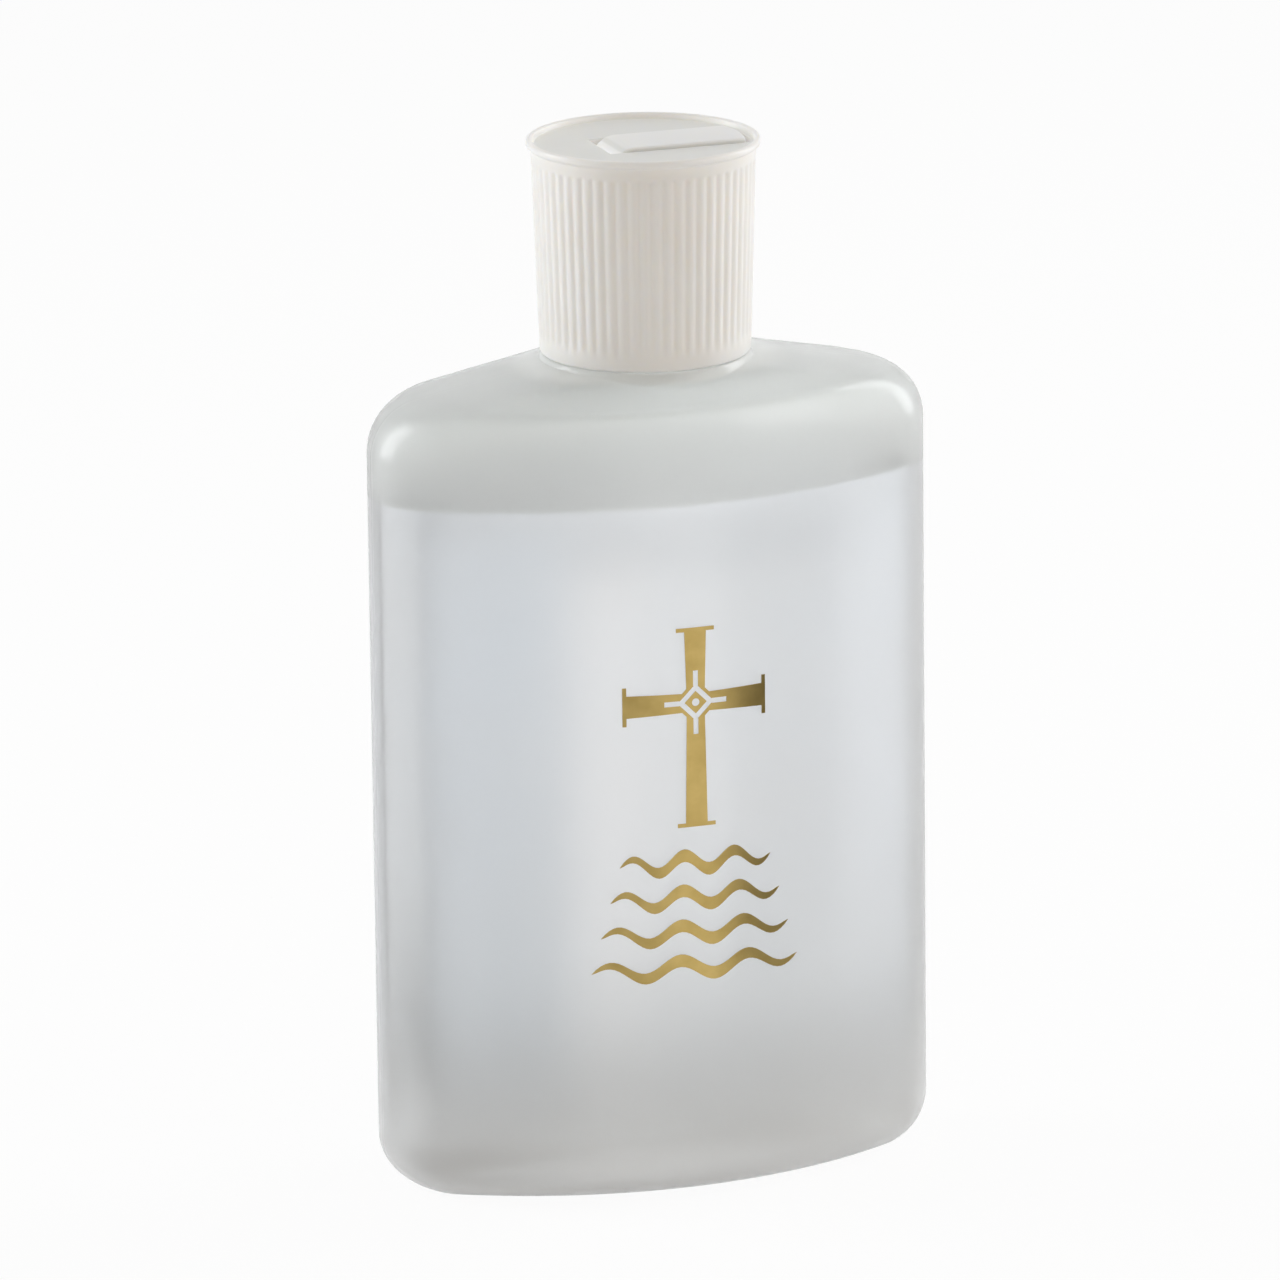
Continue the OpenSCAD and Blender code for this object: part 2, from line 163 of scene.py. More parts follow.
def loft(name: str, rings: list[np.ndarray], first: Close, last: Close) -> Piece:
    """Joins rings of equal count into one closed skin.

    Args:
        name: Name of the object.
        rings: Rings of points, each counter-clockwise seen from the end of the loft.
        first: How the first ring is shut.
        last: How the last ring is shut.

    Returns:
        The object with the closed mesh.
    """
    count = len(rings[0])
    points = np.concatenate(rings)
    step = np.arange(count)
    after = (step + 1) % count
    faces: list[tuple[int, ...]] = []
    for level in range(len(rings) - 1):
        low = level * count
        high = low + count
        faces += np.stack([low + step, low + after, high + after, high + step], axis=1).tolist()
    ends = ((first, step[::-1], rings[0]), (last, (len(rings) - 1) * count + step, rings[-1]))
    for close, ring, ring_points in ends:
        if close is Close.FACE:
            faces.append(tuple(ring.tolist()))
            continue
        pole = len(points)
        points = np.vstack([points, ring_points.mean(axis=0)])
        faces += [(int(a), int(b), pole) for a, b in zip(ring, np.roll(ring, -1))]
    return mesh_object(name, points, faces)


def levelled(flat: np.ndarray, height: float | np.ndarray) -> np.ndarray:
    """Points of a plan set at a height, one for all or one for each."""
    return np.column_stack([flat, np.broadcast_to(height, len(flat))])


def turned_ring(radius: float | np.ndarray, height: float, angles: np.ndarray) -> np.ndarray:
    """A level ring round the Z axis, its radius one for all or one for each of its angles in radians."""
    return levelled(np.stack([radius * np.cos(angles), radius * np.sin(angles)], axis=1), height)


def arc(centre: Span, radius: float, start: float, end: float, steps: int) -> Profile:
    """Points of an arc in a profile, both ends included, by angles in degrees and a count of chords."""
    angles = np.radians(np.linspace(start, end, steps + 1))
    return [(centre[0] + radius * math.cos(a), centre[1] + radius * math.sin(a)) for a in angles]


def even_angles(count: int) -> np.ndarray:
    """Angles spread evenly round a full turn."""
    return np.arange(count) * 2 * math.pi / count


def rod(name: str, radius: float, start: Vector, end: Vector, bevel: float = 0.0, sides: int = 64) -> Piece:
    """A round rod between two points.

    Args:
        name: Name of the object.
        radius: Radius of the rod.
        start: Middle of its first end.
        end: Middle of its last end.
        bevel: Width of the bevel at both ends.
        sides: Points round the rod.

    Returns:
        The object with the closed mesh.
    """
    along = end - start
    tip = radius - bevel
    stations = [(tip, 0.0), (radius, bevel), (radius, along.length - bevel), (tip, along.length)]
    turn = along.to_track_quat("Z", "Y")
    rings = []
    for ring_radius, distance in stations if bevel else stations[1:3]:
        flat = turned_ring(ring_radius, distance, even_angles(sides))
        rings.append(np.array([start + turn @ Vector(p) for p in flat]))
    return loft(name, rings, Close.FACE, Close.FACE)


def as_plain_mesh(made: Piece) -> None:
    """Turns an object's modifiers into its mesh and removes them.

    Args:
        made: The object.
    """
    bpy.context.view_layer.update()
    evaluated = made.evaluated_get(bpy.context.evaluated_depsgraph_get())
    made.data = bpy.data.meshes.new_from_object(evaluated)
    made.modifiers.clear()


def fuse(target: Piece, tool: Piece, how: Fuse) -> None:
    """Adds a closed solid to another or cuts it out, and removes the tool.

    Args:
        target: The solid that stays.
        tool: The solid that is added or cut out.
        how: Whether it is added or cut out.
    """
    joint = target.modifiers.new("fuse", "BOOLEAN")
    joint.operation = how.value
    joint.solver = "MANIFOLD"
    joint.object = tool
    as_plain_mesh(target)
    bpy.data.objects.remove(tool)


@contextmanager
def opened(mesh: bpy.types.Mesh) -> Iterator[bmesh.types.BMesh]:
    """Opens a mesh for work on its faces and points, and writes it back.

    Args:
        mesh: The mesh.

    Returns:
        The open mesh, for a with statement.
    """
    work = bmesh.new()
    work.from_mesh(mesh)
    yield work
    work.to_mesh(mesh)
    work.free()


def face_outwards(made: Piece) -> None:
    """Turns the faces of a closed solid outwards."""
    with opened(made.data) as work:
        bmesh.ops.recalc_face_normals(work, faces=work.faces)


def smooth(made: Piece, sharp_angle: float) -> None:
    """Shades a mesh smooth, apart from edges sharper than an angle in degrees."""
    made.data.shade_smooth()
    made.data.set_sharp_from_angle(angle=math.radians(sharp_angle))


def keep_flats(made: Piece) -> None:
    """Weighs the normals by face area, so that flat faces stay flat beside their rounded edges."""
    made.modifiers.new("keep_flats", "WEIGHTED_NORMAL").keep_sharp = True
    as_plain_mesh(made)


def coat(made: Piece, finish: Finish) -> None:
    """Gives a piece one finish all over.

    Args:
        made: The piece.
        finish: Its material.
    """
    made.data.materials.clear()
    made.data.materials.append(finish)
    made.data.polygons.foreach_set("material_index", [0] * len(made.data.polygons))


def settle(piece: Piece, finish: Finish, body: str, node: str) -> Piece:
    """Coats a piece and lets it ride on a CAD body in place of a CAD node.

    Args:
        piece: The piece.
        finish: Its material.
        body: Name of the body that it moves with.
        node: Name of the CAD node that it stands for.

    Returns:
        The piece.
    """
    coat(piece, finish)
    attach(piece, body)
    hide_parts(node)
    LOG.info("%s: %d faces, on %s", piece.name, len(piece.data.polygons), body)
    return piece


# Finishes


class NodeSheet:
    """A node tree that is filled node by node."""

    def __init__(self, tree: bpy.types.NodeTree) -> None:
        """Takes over an empty tree."""
        self.tree = tree

    def feed(self, socket: Socket, value: object) -> None:
        """Links an output to an input or sets the input's value.

        Args:
            socket: The input.
            value: An output socket or a plain value.
        """
        if isinstance(value, Socket):
            self.tree.links.new(value, socket)
        else:
            socket.default_value = value

    def add(self, kind: str, inputs: dict[str, object] | None = None, **settings: object) -> bpy.types.Node:
        """Adds a node.

        Args:
            kind: Blender's name of the node type.
            inputs: Values or output sockets for its inputs, by the input's name or identifier.
            **settings: Values for the node's own properties.

        Returns:
            The new node.
        """
        node = self.tree.nodes.new(kind)
        for key, value in settings.items():
            setattr(node, key, value)
        for key, value in (inputs or {}).items():
            self.feed(next(s for s in node.inputs if key in (s.identifier, s.name) and s.enabled), value)
        return node

    def row(self, kind: str, *values: object, **settings: object) -> Socket:
        """Adds a node whose inputs are told by their order.

        Args:
            kind: Blender's name of the node type.
            *values: Values or output sockets for its first inputs.
            **settings: Values for the node's own properties.

        Returns:
            The node's first output.
        """
        node = self.add(kind, **settings)
        for socket, value in zip(node.inputs, values):
            self.feed(socket, value)
        return node.outputs[0]

    def noise(self, size: float, place: Socket, detail: float = 2.0) -> Socket:
        """Noise of about 0.5 with spots of a size in millimetres and a number of finer layers."""
        inputs = {"Vector": place, "Scale": 1 / (size * MM), "Detail": detail}
        return self.add("ShaderNodeTexNoise", inputs).outputs[0]

    def stretched(self, place: Socket, scale: Triple) -> Socket:
        """Coordinates scaled along each axis."""
        return self.add("ShaderNodeMapping", {"Vector": place, "Scale": scale}).outputs[0]

    def axes(self, place: Socket) -> Outputs:
        """Coordinates parted into X, Y and Z."""
        return self.add("ShaderNodeSeparateXYZ", {"Vector": place}).outputs

    def length(self, vector: Socket) -> Socket:
        """Length of a vector."""
        return self.add("ShaderNodeVectorMath", {"Vector": vector}, operation="LENGTH").outputs["Value"]

    def spread(self, value: Socket, low: float, high: float) -> Socket:
        """Noise around 0.5 spread over a range from low to high."""
        limits = {"From Min": NOISE_LOW, "From Max": NOISE_HIGH, "To Min": low, "To Max": high}
        return self.add("ShaderNodeMapRange", {"Value": value, **limits}).outputs[0]

    def step(self, value: Socket, start: Number, end: Number, form: str = "SMOOTHSTEP") -> Socket:
        """A rise from 0 at start to 1 at end, smooth or in another of the node's forms."""
        inputs = {"Value": value, "From Min": start, "From Max": end}
        return self.add("ShaderNodeMapRange", inputs, interpolation_type=form).outputs[0]

    def ramp(self, value: Socket, start: float, end: float) -> Socket:
        """A smooth rise from 0 at start to 1 at end, both in millimetres."""
        return self.step(value, start * MM, end * MM)

    def mixed(self, kind: str, share: Number, ends: list[object], **settings: object) -> Socket:
        """Mixes two values.

        Args:
            kind: Kind of the values, as in the names of the node's sockets.
            share: Share of the second value, from 0 to 1.
            ends: The two values.
            **settings: Values for the node's own properties.

        Returns:
            The output with the mix.
        """
        inputs = {"Factor_Float": share, f"A_{kind}": ends[0], f"B_{kind}": ends[1]}
        node = self.add("ShaderNodeMix", inputs, **settings)
        return next(s for s in node.outputs if s.identifier == f"Result_{kind}")

    def blend(self, share: Number, first: Tint, second: Tint) -> Socket:
        """A colour between two, by a share from 0 to 1."""
        ends = [end if isinstance(end, Socket) else (*end, 1.0) for end in (first, second)]
        return self.mixed("Color", share, ends, data_type="RGBA")

    def between(self, share: Number, first: Number, second: Number) -> Socket:
        """A number between two, by a share from 0 to 1."""
        return self.mixed("Float", share, [first, second])

    def math(self, operation: str, first: Number, second: Number = 0.0) -> Socket:
        """One step of arithmetic."""
        return self.row("ShaderNodeMath", first, second, operation=operation)

    def product(self, first: Number, *others: Number) -> Number:
        """Multiplies numbers in their order.

        Args:
            first: The first number.
            *others: The other numbers.

        Returns:
            The output with the product.
        """
        result = first
        for other in others:
            result = self.math("MULTIPLY", result, other)
        return result

    def bump(self, height: Socket, depth: float, under: Socket | None = None) -> Socket:
        """A bumped normal.

        Args:
            height: Height map from 0 to 1.
            depth: Depth of the relief in millimetres.
            under: A normal that is bumped already.

        Returns:
            The normal.
        """
        inputs = {"Height": height, "Distance": depth * MM, "Strength": 1.0}
        if under is not None:
            inputs["Normal"] = under
        return self.add("ShaderNodeBump", inputs).outputs[0]


def new_material(name: str) -> tuple[Finish, NodeSheet, Socket]:
    """Starts a material.

    Args:
        name: Name of the material.

    Returns:
        The material, its emptied node sheet and the socket of the object's own coordinates.
    """
    material = bpy.data.materials.new(name)
    material.use_nodes = True
    material.node_tree.nodes.clear()
    sheet = NodeSheet(material.node_tree)
    return material, sheet, sheet.add("ShaderNodeTexCoord").outputs["Object"]


def finish_material(sheet: NodeSheet, inputs: dict[str, object]) -> None:
    """Ends a material in one Principled shader with the given inputs."""
    shader = sheet.add("ShaderNodeBsdfPrincipled", inputs)
    sheet.add("ShaderNodeOutputMaterial", {"Surface": shader.outputs[0]})


@dataclass(frozen=True)
class TranslucentPlastic:
    """Milky blow-moulded plastic with a satin skin, greener where it is dry inside and less clear at its
    foot, with painted shade that darkens it towards the shoulder and towards the bottom.
    """

    dry: tuple[Colour, Colour] = ((0.97, 0.983, 0.973), (0.985, 0.995, 0.988))
    wet: tuple[Colour, Colour] = ((0.965, 0.975, 0.985), (0.985, 0.99, 0.995))
    # Painted shade: this darker grey-green is blended into the dry plastic towards the shoulder.
    painted_shoulder_shade: Colour = (0.93, 0.95, 0.937)
    # Painted shade: this darker colour is blended in towards the bottom of the bottle.
    painted_foot_shade: Colour = (0.965, 0.972, 0.973)
    wet_line: Span = (81.3, 80.7)
    painted_shoulder_shade_zone: Span = (82.0, 93.0)
    painted_foot_shade_zone: Span = (48.0, 6.0)
    foot_zone: Span = (24.0, 0.0)
    neck_zone: Span = (94.0, 94.8)
    base_zone: Span = (5.0, 3.0)
    base_reach: Span = (26.0, 23.0)
    base_stretch: float = 2.06
    transmission: float = 0.88
    foot_transmission: float = 0.55
    base_transmission: float = 0.98
    neck_transmission: float = 0.4
    dry_roughness: Span = (0.44, 0.52)
    wet_roughness: Span = (0.29, 0.35)
    cloud: float = 14.0
    cloud_layers: float = 3.0
    grain: float = 0.35
    grain_depth: float = 0.002
    streak: float = 1.6
    streak_stretch: float = 0.04
    streak_depth: float = 0.006
    refraction: float = 1.5
    gloss: float = 0.5
    gloss_roughness: float = 0.12

    def clearness(self, sheet: NodeSheet, place: Socket) -> Socket:
        """Share of the light that passes: less at foot and neck, most in the flat of the base.

        Args:
            sheet: The node sheet.
            place: The bottle's own coordinates.

        Returns:
            The output with the share.
        """
        height = sheet.axes(place)["Z"]
        reach = sheet.length(sheet.stretched(place, (1.0, self.base_stretch, 0.0)))
        foot = sheet.ramp(height, *self.foot_zone)
        base = sheet.product(sheet.ramp(height, *self.base_zone), sheet.ramp(reach, *self.base_reach))
        neck = sheet.ramp(height, *self.neck_zone)
        wall = sheet.between(foot, self.transmission, self.foot_transmission)
        return sheet.between(neck, sheet.between(base, wall, self.base_transmission), self.neck_transmission)

    def material(self) -> Finish:
        """Makes the material.

        Returns:
            The material.
        """
        material, sheet, place = new_material("translucent_plastic")
        height = sheet.axes(place)["Z"]
        clouds = sheet.noise(self.cloud, place, self.cloud_layers)
        share = sheet.spread(clouds, 0.0, 1.0)
        wetted = sheet.ramp(height, *self.wet_line)
        # Painted shade: the dry plastic darkens towards the shoulder across this zone.
        painted_shoulder_shade = sheet.ramp(height, *self.painted_shoulder_shade_zone)
        dry = sheet.blend(painted_shoulder_shade, sheet.blend(share, *self.dry), self.painted_shoulder_shade)
        skin = sheet.blend(wetted, dry, sheet.blend(share, *self.wet))
        dull = sheet.spread(clouds, *self.dry_roughness)
        satin = sheet.spread(clouds, *self.wet_roughness)
        streaks = sheet.noise(self.streak, sheet.stretched(place, (1.0, 1.0, self.streak_stretch)))
        grain = sheet.noise(self.grain, place)
        finish_material(sheet, {
            # Painted shade darkens the base colour towards the bottom.
            "Base Color": sheet.blend(sheet.ramp(height, *self.painted_foot_shade_zone), skin, self.painted_foot_shade),
            "Roughness": sheet.between(wetted, dull, satin),
            "Transmission Weight": self.clearness(sheet, place),
            "IOR": self.refraction,
            "Coat Weight": self.gloss,
            "Coat Roughness": self.gloss_roughness,
            "Normal": sheet.bump(grain, self.grain_depth, sheet.bump(streaks, self.streak_depth)),
        })
        return material


@dataclass(frozen=True)
class StillWater:
    """Clear water with a breath of blue."""

    shallow: Colour = (0.97, 0.985, 1.0)
    deep: Colour = (0.94, 0.97, 0.995)
    drift: float = 30.0
    ripple: float = 9.0
    ripple_depth: float = 0.02
    roughness: float = 0.03
    refraction: float = 1.33

    def material(self) -> Finish:
        """Makes the material.

        Returns:
            The material.
        """
        material, sheet, place = new_material("still_water")
        drift = sheet.spread(sheet.noise(self.drift, place), 0.0, 1.0)
        finish_material(sheet, {
            "Base Color": sheet.blend(drift, self.shallow, self.deep),
            "Roughness": self.roughness,
            "Transmission Weight": 1.0,
            "IOR": self.refraction,
            "Normal": sheet.bump(sheet.noise(self.ripple, place), self.ripple_depth),
        })
        return material


@dataclass(frozen=True)
class GoldFoil:
    """Hot-stamped metal foil with fine creases and dull patches."""

    bright: Colour = (0.62, 0.46, 0.17)
    dull: Colour = (0.5, 0.36, 0.12)
    roughness: Span = (0.28, 0.33)
    patch: float = 3.0
    patch_layers: float = 3.0
    crease: float = 0.5
    crease_layers: float = 4.0
    crease_depth: float = 0.0012

    def material(self) -> Finish:
        """Makes the material.

        Returns:
            The material.
        """
        material, sheet, place = new_material("gold_foil")
        patches = sheet.noise(self.patch, place, self.patch_layers)
        creases = sheet.noise(self.crease, place, self.crease_layers)
        finish_material(sheet, {
            "Base Color": sheet.blend(sheet.spread(patches, 0.0, 1.0), self.dull, self.bright),
            "Metallic": 1.0,
            "Roughness": sheet.spread(creases, *self.roughness),
            "Normal": sheet.bump(creases, self.crease_depth),
        })
        return material


@dataclass(frozen=True)
class MouldedPlastic:
    """Ivory injection-moulded plastic, with painted shade that makes it warmer and darker between its ribs
    and greyer on the cap's recessed deck.
    """

    name: str = "ivory_plastic"
    pale: Colour = (0.88, 0.87, 0.855)
    warm: Colour = (0.84, 0.82, 0.79)
    # Painted shade: the recessed deck is coloured greyer and darker with this.
    deck: Colour = (0.78, 0.785, 0.765)
    deck_shade_rise: Span = (119.1, 119.25)
    deck_shade_edge: Span = (12.6, 12.4)
    deck_shade_top: Span = (119.6, 119.4)
    paleness: Span = (0.6, 1.0)
    # Painted shade: share of the warmer, darker tone pushed into the rib valleys.
    valley_painted_shade: float = 0.1
    valley_name: str = "rib_valley"
    roughness: Span = (0.3, 0.4)
    cloud: float = 6.0
    cloud_layers: float = 3.0
    grain: float = 0.3
    grain_depth: float = 0.002
    scatter: float = 0.6
    scatter_colour: Colour = (1.0, 0.9, 0.75)
    scatter_depth: float = 1.6

    def material(self) -> Finish:
        """Makes the material.

        Returns:
            The material.
        """
        material, sheet, place = new_material(self.name)
        clouds = sheet.noise(self.cloud, place, self.cloud_layers)
        valley = sheet.add("ShaderNodeAttribute", attribute_name=self.valley_name).outputs["Fac"]
        # Painted shade: the rib valleys are pulled towards the warmer, darker tone.
        painted_valley_shade = sheet.product(valley, self.valley_painted_shade)
        paleness = sheet.math("SUBTRACT", sheet.spread(clouds, *self.paleness), painted_valley_shade)
        height = sheet.axes(place)["Z"]
        radius = sheet.length(sheet.stretched(place, (1.0, 1.0, 0.0)))
        # Painted shade: mask of the recessed deck, below the rim's top and inside its edge.
        places = ((height, self.deck_shade_rise), (height, self.deck_shade_top), (radius, self.deck_shade_edge))
        painted_deck_shade = sheet.product(*(sheet.ramp(value, *span) for value, span in places))
        finish_material(sheet, {
            "Base Color": sheet.blend(painted_deck_shade, sheet.blend(paleness, self.warm, self.pale), self.deck),
            "Roughness": sheet.spread(clouds, *self.roughness),
            "Subsurface Weight": self.scatter,
            "Subsurface Radius": self.scatter_colour,
            "Subsurface Scale": self.scatter_depth * MM,
            "Normal": sheet.bump(sheet.noise(self.grain, place), self.grain_depth),
        })
        return material


@dataclass(frozen=True)
class LinerFoam:
    """Soft closed-cell foam."""

    pale: Colour = (0.86, 0.86, 0.83)
    shade: Colour = (0.74, 0.74, 0.7)
    roughness: Span = (0.7, 0.85)
    cell: float = 0.35
    cell_depth: float = 0.05

    def material(self) -> Finish:
        """Makes the material.

        Returns:
            The material.
        """
        material, sheet, place = new_material("liner_foam")
        inputs = {"Vector": place, "Scale": 1 / (self.cell * MM)}
        cells = sheet.add("ShaderNodeTexVoronoi", inputs).outputs[0]
        finish_material(sheet, {
            "Base Color": sheet.blend(cells, self.shade, self.pale),
            "Roughness": sheet.spread(cells, *self.roughness),
            "Normal": sheet.bump(cells, self.cell_depth),
        })
        return material


# Bottle and water


@dataclass(frozen=True)
class OvalPlan:
    """Outline of the bottle from above: two wide face arcs and two round ends, tangent to each other."""

    half_width: float = 32.7
    half_depth: float = 15.85
    end_radius: float = 9.9
    face_steps: int = 28
    end_steps: int = 56
    end_crowding: float = 0.4

    @property
    def end_centre(self) -> float:
        """Distance of an end's centre from the middle."""
        return self.half_width - self.end_radius

    @property
    def face_radius(self) -> float:
        """Radius of the faces."""
        rise = self.half_depth - self.end_radius
        return (self.end_centre**2 + self.half_depth**2 - self.end_radius**2) / (2 * rise)

    @property
    def face_centre(self) -> float:
        """Distance of a face's centre behind the middle."""
        return self.face_radius - self.half_depth

    @property
    def face_angle(self) -> float:
        """Half the angle of a face, in radians."""
        return math.atan2(self.end_centre, self.face_centre)

    @property
    def headings(self) -> np.ndarray:
        """Directions of the outward normals round the plan.

        Returns:
            Angles in radians, crowded at the parting lines in the ends.
        """
        share = np.linspace(-1, 1, self.end_steps + 1)[:-1]
        crowded = self.end_crowding * share + (1 - self.end_crowding) * share**3
        end = crowded * (math.pi / 2 - self.face_angle)
        face = np.linspace(-1, 1, self.face_steps + 1)[:-1] * self.face_angle
        quarters = (end, face + math.pi / 2, end + math.pi, face + 3 * math.pi / 2)
        return np.concatenate(quarters)

    @property
    def normals(self) -> np.ndarray:
        """Outward normals at the headings."""
        return np.stack([np.cos(self.headings), np.sin(self.headings)], axis=1)

    def points(self, inset: float | np.ndarray) -> np.ndarray:
        """Points of the plan, moved inwards by inset.

        Args:
            inset: Distance inwards, one for all or one for each heading.

        Returns:
            Points with X and Y, one row for each heading.
        """
        normal = self.normals
        flat = np.zeros(len(normal))
        on_face = np.arctan2(abs(normal[:, 0]), abs(normal[:, 1])) < self.face_angle
        face_centre = np.stack([flat, -np.sign(normal[:, 1]) * self.face_centre], axis=1)
        end_centre = np.stack([np.sign(normal[:, 0]) * self.end_centre, flat], axis=1)
        centre = np.where(on_face[:, None], face_centre, end_centre)
        radius = np.where(on_face, self.face_radius, self.end_radius) - inset
        return centre + radius[:, None] * normal


@dataclass(frozen=True)
class ScrewThread:
    """A right-hand thread that fades in and out at its ends."""

    low: float
    depth: float
    pitch: float = 3.175
    turns: float = 1.5
    width: float = 1.7
    crest: float = 0.7
    fade: float = math.radians(30)

    def rise(self, angles: np.ndarray, height: float) -> np.ndarray:
        """Height of the ridge round a level ring.

        Args:
            angles: Angles of the ring's points, in radians.
            height: Height of the ring.

        Returns:
            The ridge's height at each angle.
        """
        tallest = np.zeros(len(angles))
        for turn in range(math.ceil(self.turns)):
            run = angles % (2 * math.pi) + 2 * math.pi * turn
            away = abs(height - self.low - self.pitch * run / (2 * math.pi))
            flank = np.clip((self.width / 2 - away) / ((self.width - self.crest) / 2), 0, 1)
            to_end = np.minimum(run, 2 * math.pi * self.turns - run)
            tallest = np.maximum(tallest, flank * np.clip(to_end / self.fade, 0, 1))
        return self.depth * tallest

    @property
    def zone(self) -> Span:
        """Lowest and highest point of the ridge."""
        return self.low - self.width / 2, self.low + self.pitch * self.turns + self.width / 2


@dataclass(frozen=True)
class SqueezeBottle:
    """The blow-moulded bottle, one skin from its hollow base over the neck and down its inside."""

    plan: OvalPlan = OvalPlan()
    wall: float = 1.0
    face_base_radius: float = 4.5
    end_base_radius: float = 6.2
    standing_width: float = 2.0
    base_hollow: float = 1.5
    shoulder_radius: float = 6.5
    shoulder_slope: float = math.radians(10.7)
    shoulder_height: float = 95.3
    neck_radius: float = 8.8
    neck_sweep: float = 1.85
    collar_radius: float = 11.9
    collar_top: float = 95.56
    collar_steepness: float = 3.25
    collar_edge: float = 0.15
    bore_radius: float = 6.9
    mouth_height: float = 109.3
    lip_radius: float = 0.35
    thread: ScrewThread = ScrewThread(low=102.94, depth=1.1)
    seam_height: float = 0.05
    seam_width: float = math.radians(0.9)
    seam_fade: float = math.radians(7)
    round_steps: int = 12
    buried_steps: int = 3
    slope_steps: int = 10
    collar_steps: int = 30
    collar_reach: float = 17.0
    wall_steps: int = 12
    lip_steps: int = 4
    thread_step: float = 0.16
    sharp_angle: float = 35.0

    @property
    def sweep_foot(self) -> float:
        """Radius at which the shoulder turns up into the neck."""
        return self.neck_radius + self.neck_sweep

    @property
    def wall_top(self) -> float:
        """Height at which the walls turn into the shoulder.

        Returns:
            The height.
        """
        corner = math.pi / 2 - self.shoulder_slope
        corner_end = self.plan.half_width - self.shoulder_radius * (1 - math.cos(corner))
        slope_rise = (corner_end - self.sweep_foot) * math.tan(self.shoulder_slope)
        return self.shoulder_height - slope_rise - self.shoulder_radius * math.sin(corner)

    @property
    def base_radius(self) -> np.ndarray:
        """Radius into the base at each heading, which grows from the faces to the ends."""
        growth = self.end_base_radius - self.face_base_radius
        return self.face_base_radius + growth * np.cos(self.plan.headings) ** 2

    @property
    def seam(self) -> np.ndarray:
        """Inset that leaves a fine parting line standing along both ends.

        Returns:
            The inset at each heading.
        """
        away = abs(np.arcsin(np.sin(self.plan.headings)))
        on_face = abs(np.cos(self.plan.headings)) < math.sin(self.plan.face_angle)
        away = np.where(on_face, math.pi / 2, away)
        hollow = np.exp(-((away / self.seam_fade) ** 2))
        return self.seam_height * (hollow - np.exp(-((away / self.seam_width) ** 2)))

    def level(self, inset: float | np.ndarray, height: float | np.ndarray) -> np.ndarray:
        """A ring of the plan at a height."""
        return levelled(self.plan.points(inset), height)

    def base_rings(self, inset: float) -> list[np.ndarray]:
        """Rings from the middle of the base to the foot of the walls.

        Args:
            inset: Distance inwards from the outer skin.

        Returns:
            The rings, from the middle outwards and up.
        """
        standing = self.plan.points(self.base_radius + self.standing_width)
        rings = []
        for share in np.linspace(0, 1, self.round_steps + 1)[1:]:
            height = inset + self.base_hollow * math.cos(math.pi / 2 * share)
            rings.append(levelled(share * standing, height))
        radius = self.base_radius - inset
        for turn in np.linspace(0, math.pi / 2, self.round_steps + 1):
            into = self.base_radius - radius * math.sin(turn)
            rings.append(self.level(into, self.base_radius - radius * math.cos(turn)))
        return rings

    def shoulder_ring(self, reach: float, inset: float, height: float) -> np.ndarray:
        """A ring between the oval plan and the round neck.

        Args:
            reach: Half width of the ring.
            inset: Distance inwards from the outer skin.
            height: Height of the ring.

        Returns:
            The points of the ring.
        """
        share = (reach - self.sweep_foot) / (self.plan.half_width - inset - self.sweep_foot)
        neck = turned_ring(self.sweep_foot, height, self.plan.headings)
        return share * self.level(inset, height) + (1 - share) * neck

    def shoulder_rings(self, inset: float) -> list[np.ndarray]:
        """Rings of the shoulder's corner and slope.

        Args:
            inset: Distance inwards from the outer skin.

        Returns:
            The rings, from the top of the walls to the foot of the neck.
        """
        radius = self.shoulder_radius - inset
        centre = self.plan.half_width - self.shoulder_radius
        corner = math.pi / 2 - self.shoulder_slope
        rings = []
        for turn in np.linspace(0, corner, self.round_steps + 1):
            height = self.wall_top + radius * math.sin(turn)
            rings.append(self.shoulder_ring(centre + radius * math.cos(turn), inset, height))
        start = centre + radius * math.cos(corner)
        start_height = self.wall_top + radius * math.sin(corner)
        slope = np.linspace(start, self.collar_reach, self.slope_steps + 1)[1:-1]
        for reach in [*slope, *np.linspace(self.collar_reach, self.sweep_foot, self.collar_steps + 1)]:
            height = start_height + (start - reach) * math.tan(self.shoulder_slope)
            rings.append(self.shoulder_ring(reach, inset, height))
        return rings

    def wall_rings(self, low: np.ndarray, high: np.ndarray) -> list[np.ndarray]:
        """Rings between two rings, which are left out."""
        return [low + (high - low) * share for share in np.linspace(0, 1, self.wall_steps + 1)[1:-1]]

    def shell_rings(self, inset: float) -> list[np.ndarray]:
        """Rings of base, walls and shoulder.

        Args:
            inset: Distance inwards from the outer skin.

        Returns:
            The rings, from the middle of the base to the foot of the neck.
        """
        base = self.base_rings(inset)
        shoulder = self.shoulder_rings(inset)
        return base + self.wall_rings(base[-1], shoulder[0]) + shoulder

    def collared(self, ring: np.ndarray) -> np.ndarray:
        """Lifts a ring of the outer skin where it lies in the round land under the cap.

        Args:
            ring: The ring.

        Returns:
            The lifted ring.
        """
        past = np.linalg.norm(ring[:, :2], axis=1) - self.collar_radius
        fall = self.collar_steepness / 2 * (past + np.sqrt(past**2 + self.collar_edge**2))
        on_shoulder = ring[:, 2] > self.wall_top
        ring = ring.copy()
        ring[:, 2] = np.where(on_shoulder, np.maximum(ring[:, 2], self.collar_top - fall), ring[:, 2])
        return ring

    def parted(self, ring: np.ndarray) -> np.ndarray:
        """Gives a ring of the outer skin its parting lines.

        Args:
            ring: The ring.

        Returns:
            The ring with a fine line at both ends.
        """
        reach = np.linalg.norm(ring[:, :2], axis=1).max() / self.plan.half_width
        ring = ring.copy()
        ring[:, :2] -= self.plan.normals * (self.seam * reach)[:, None]
        return ring

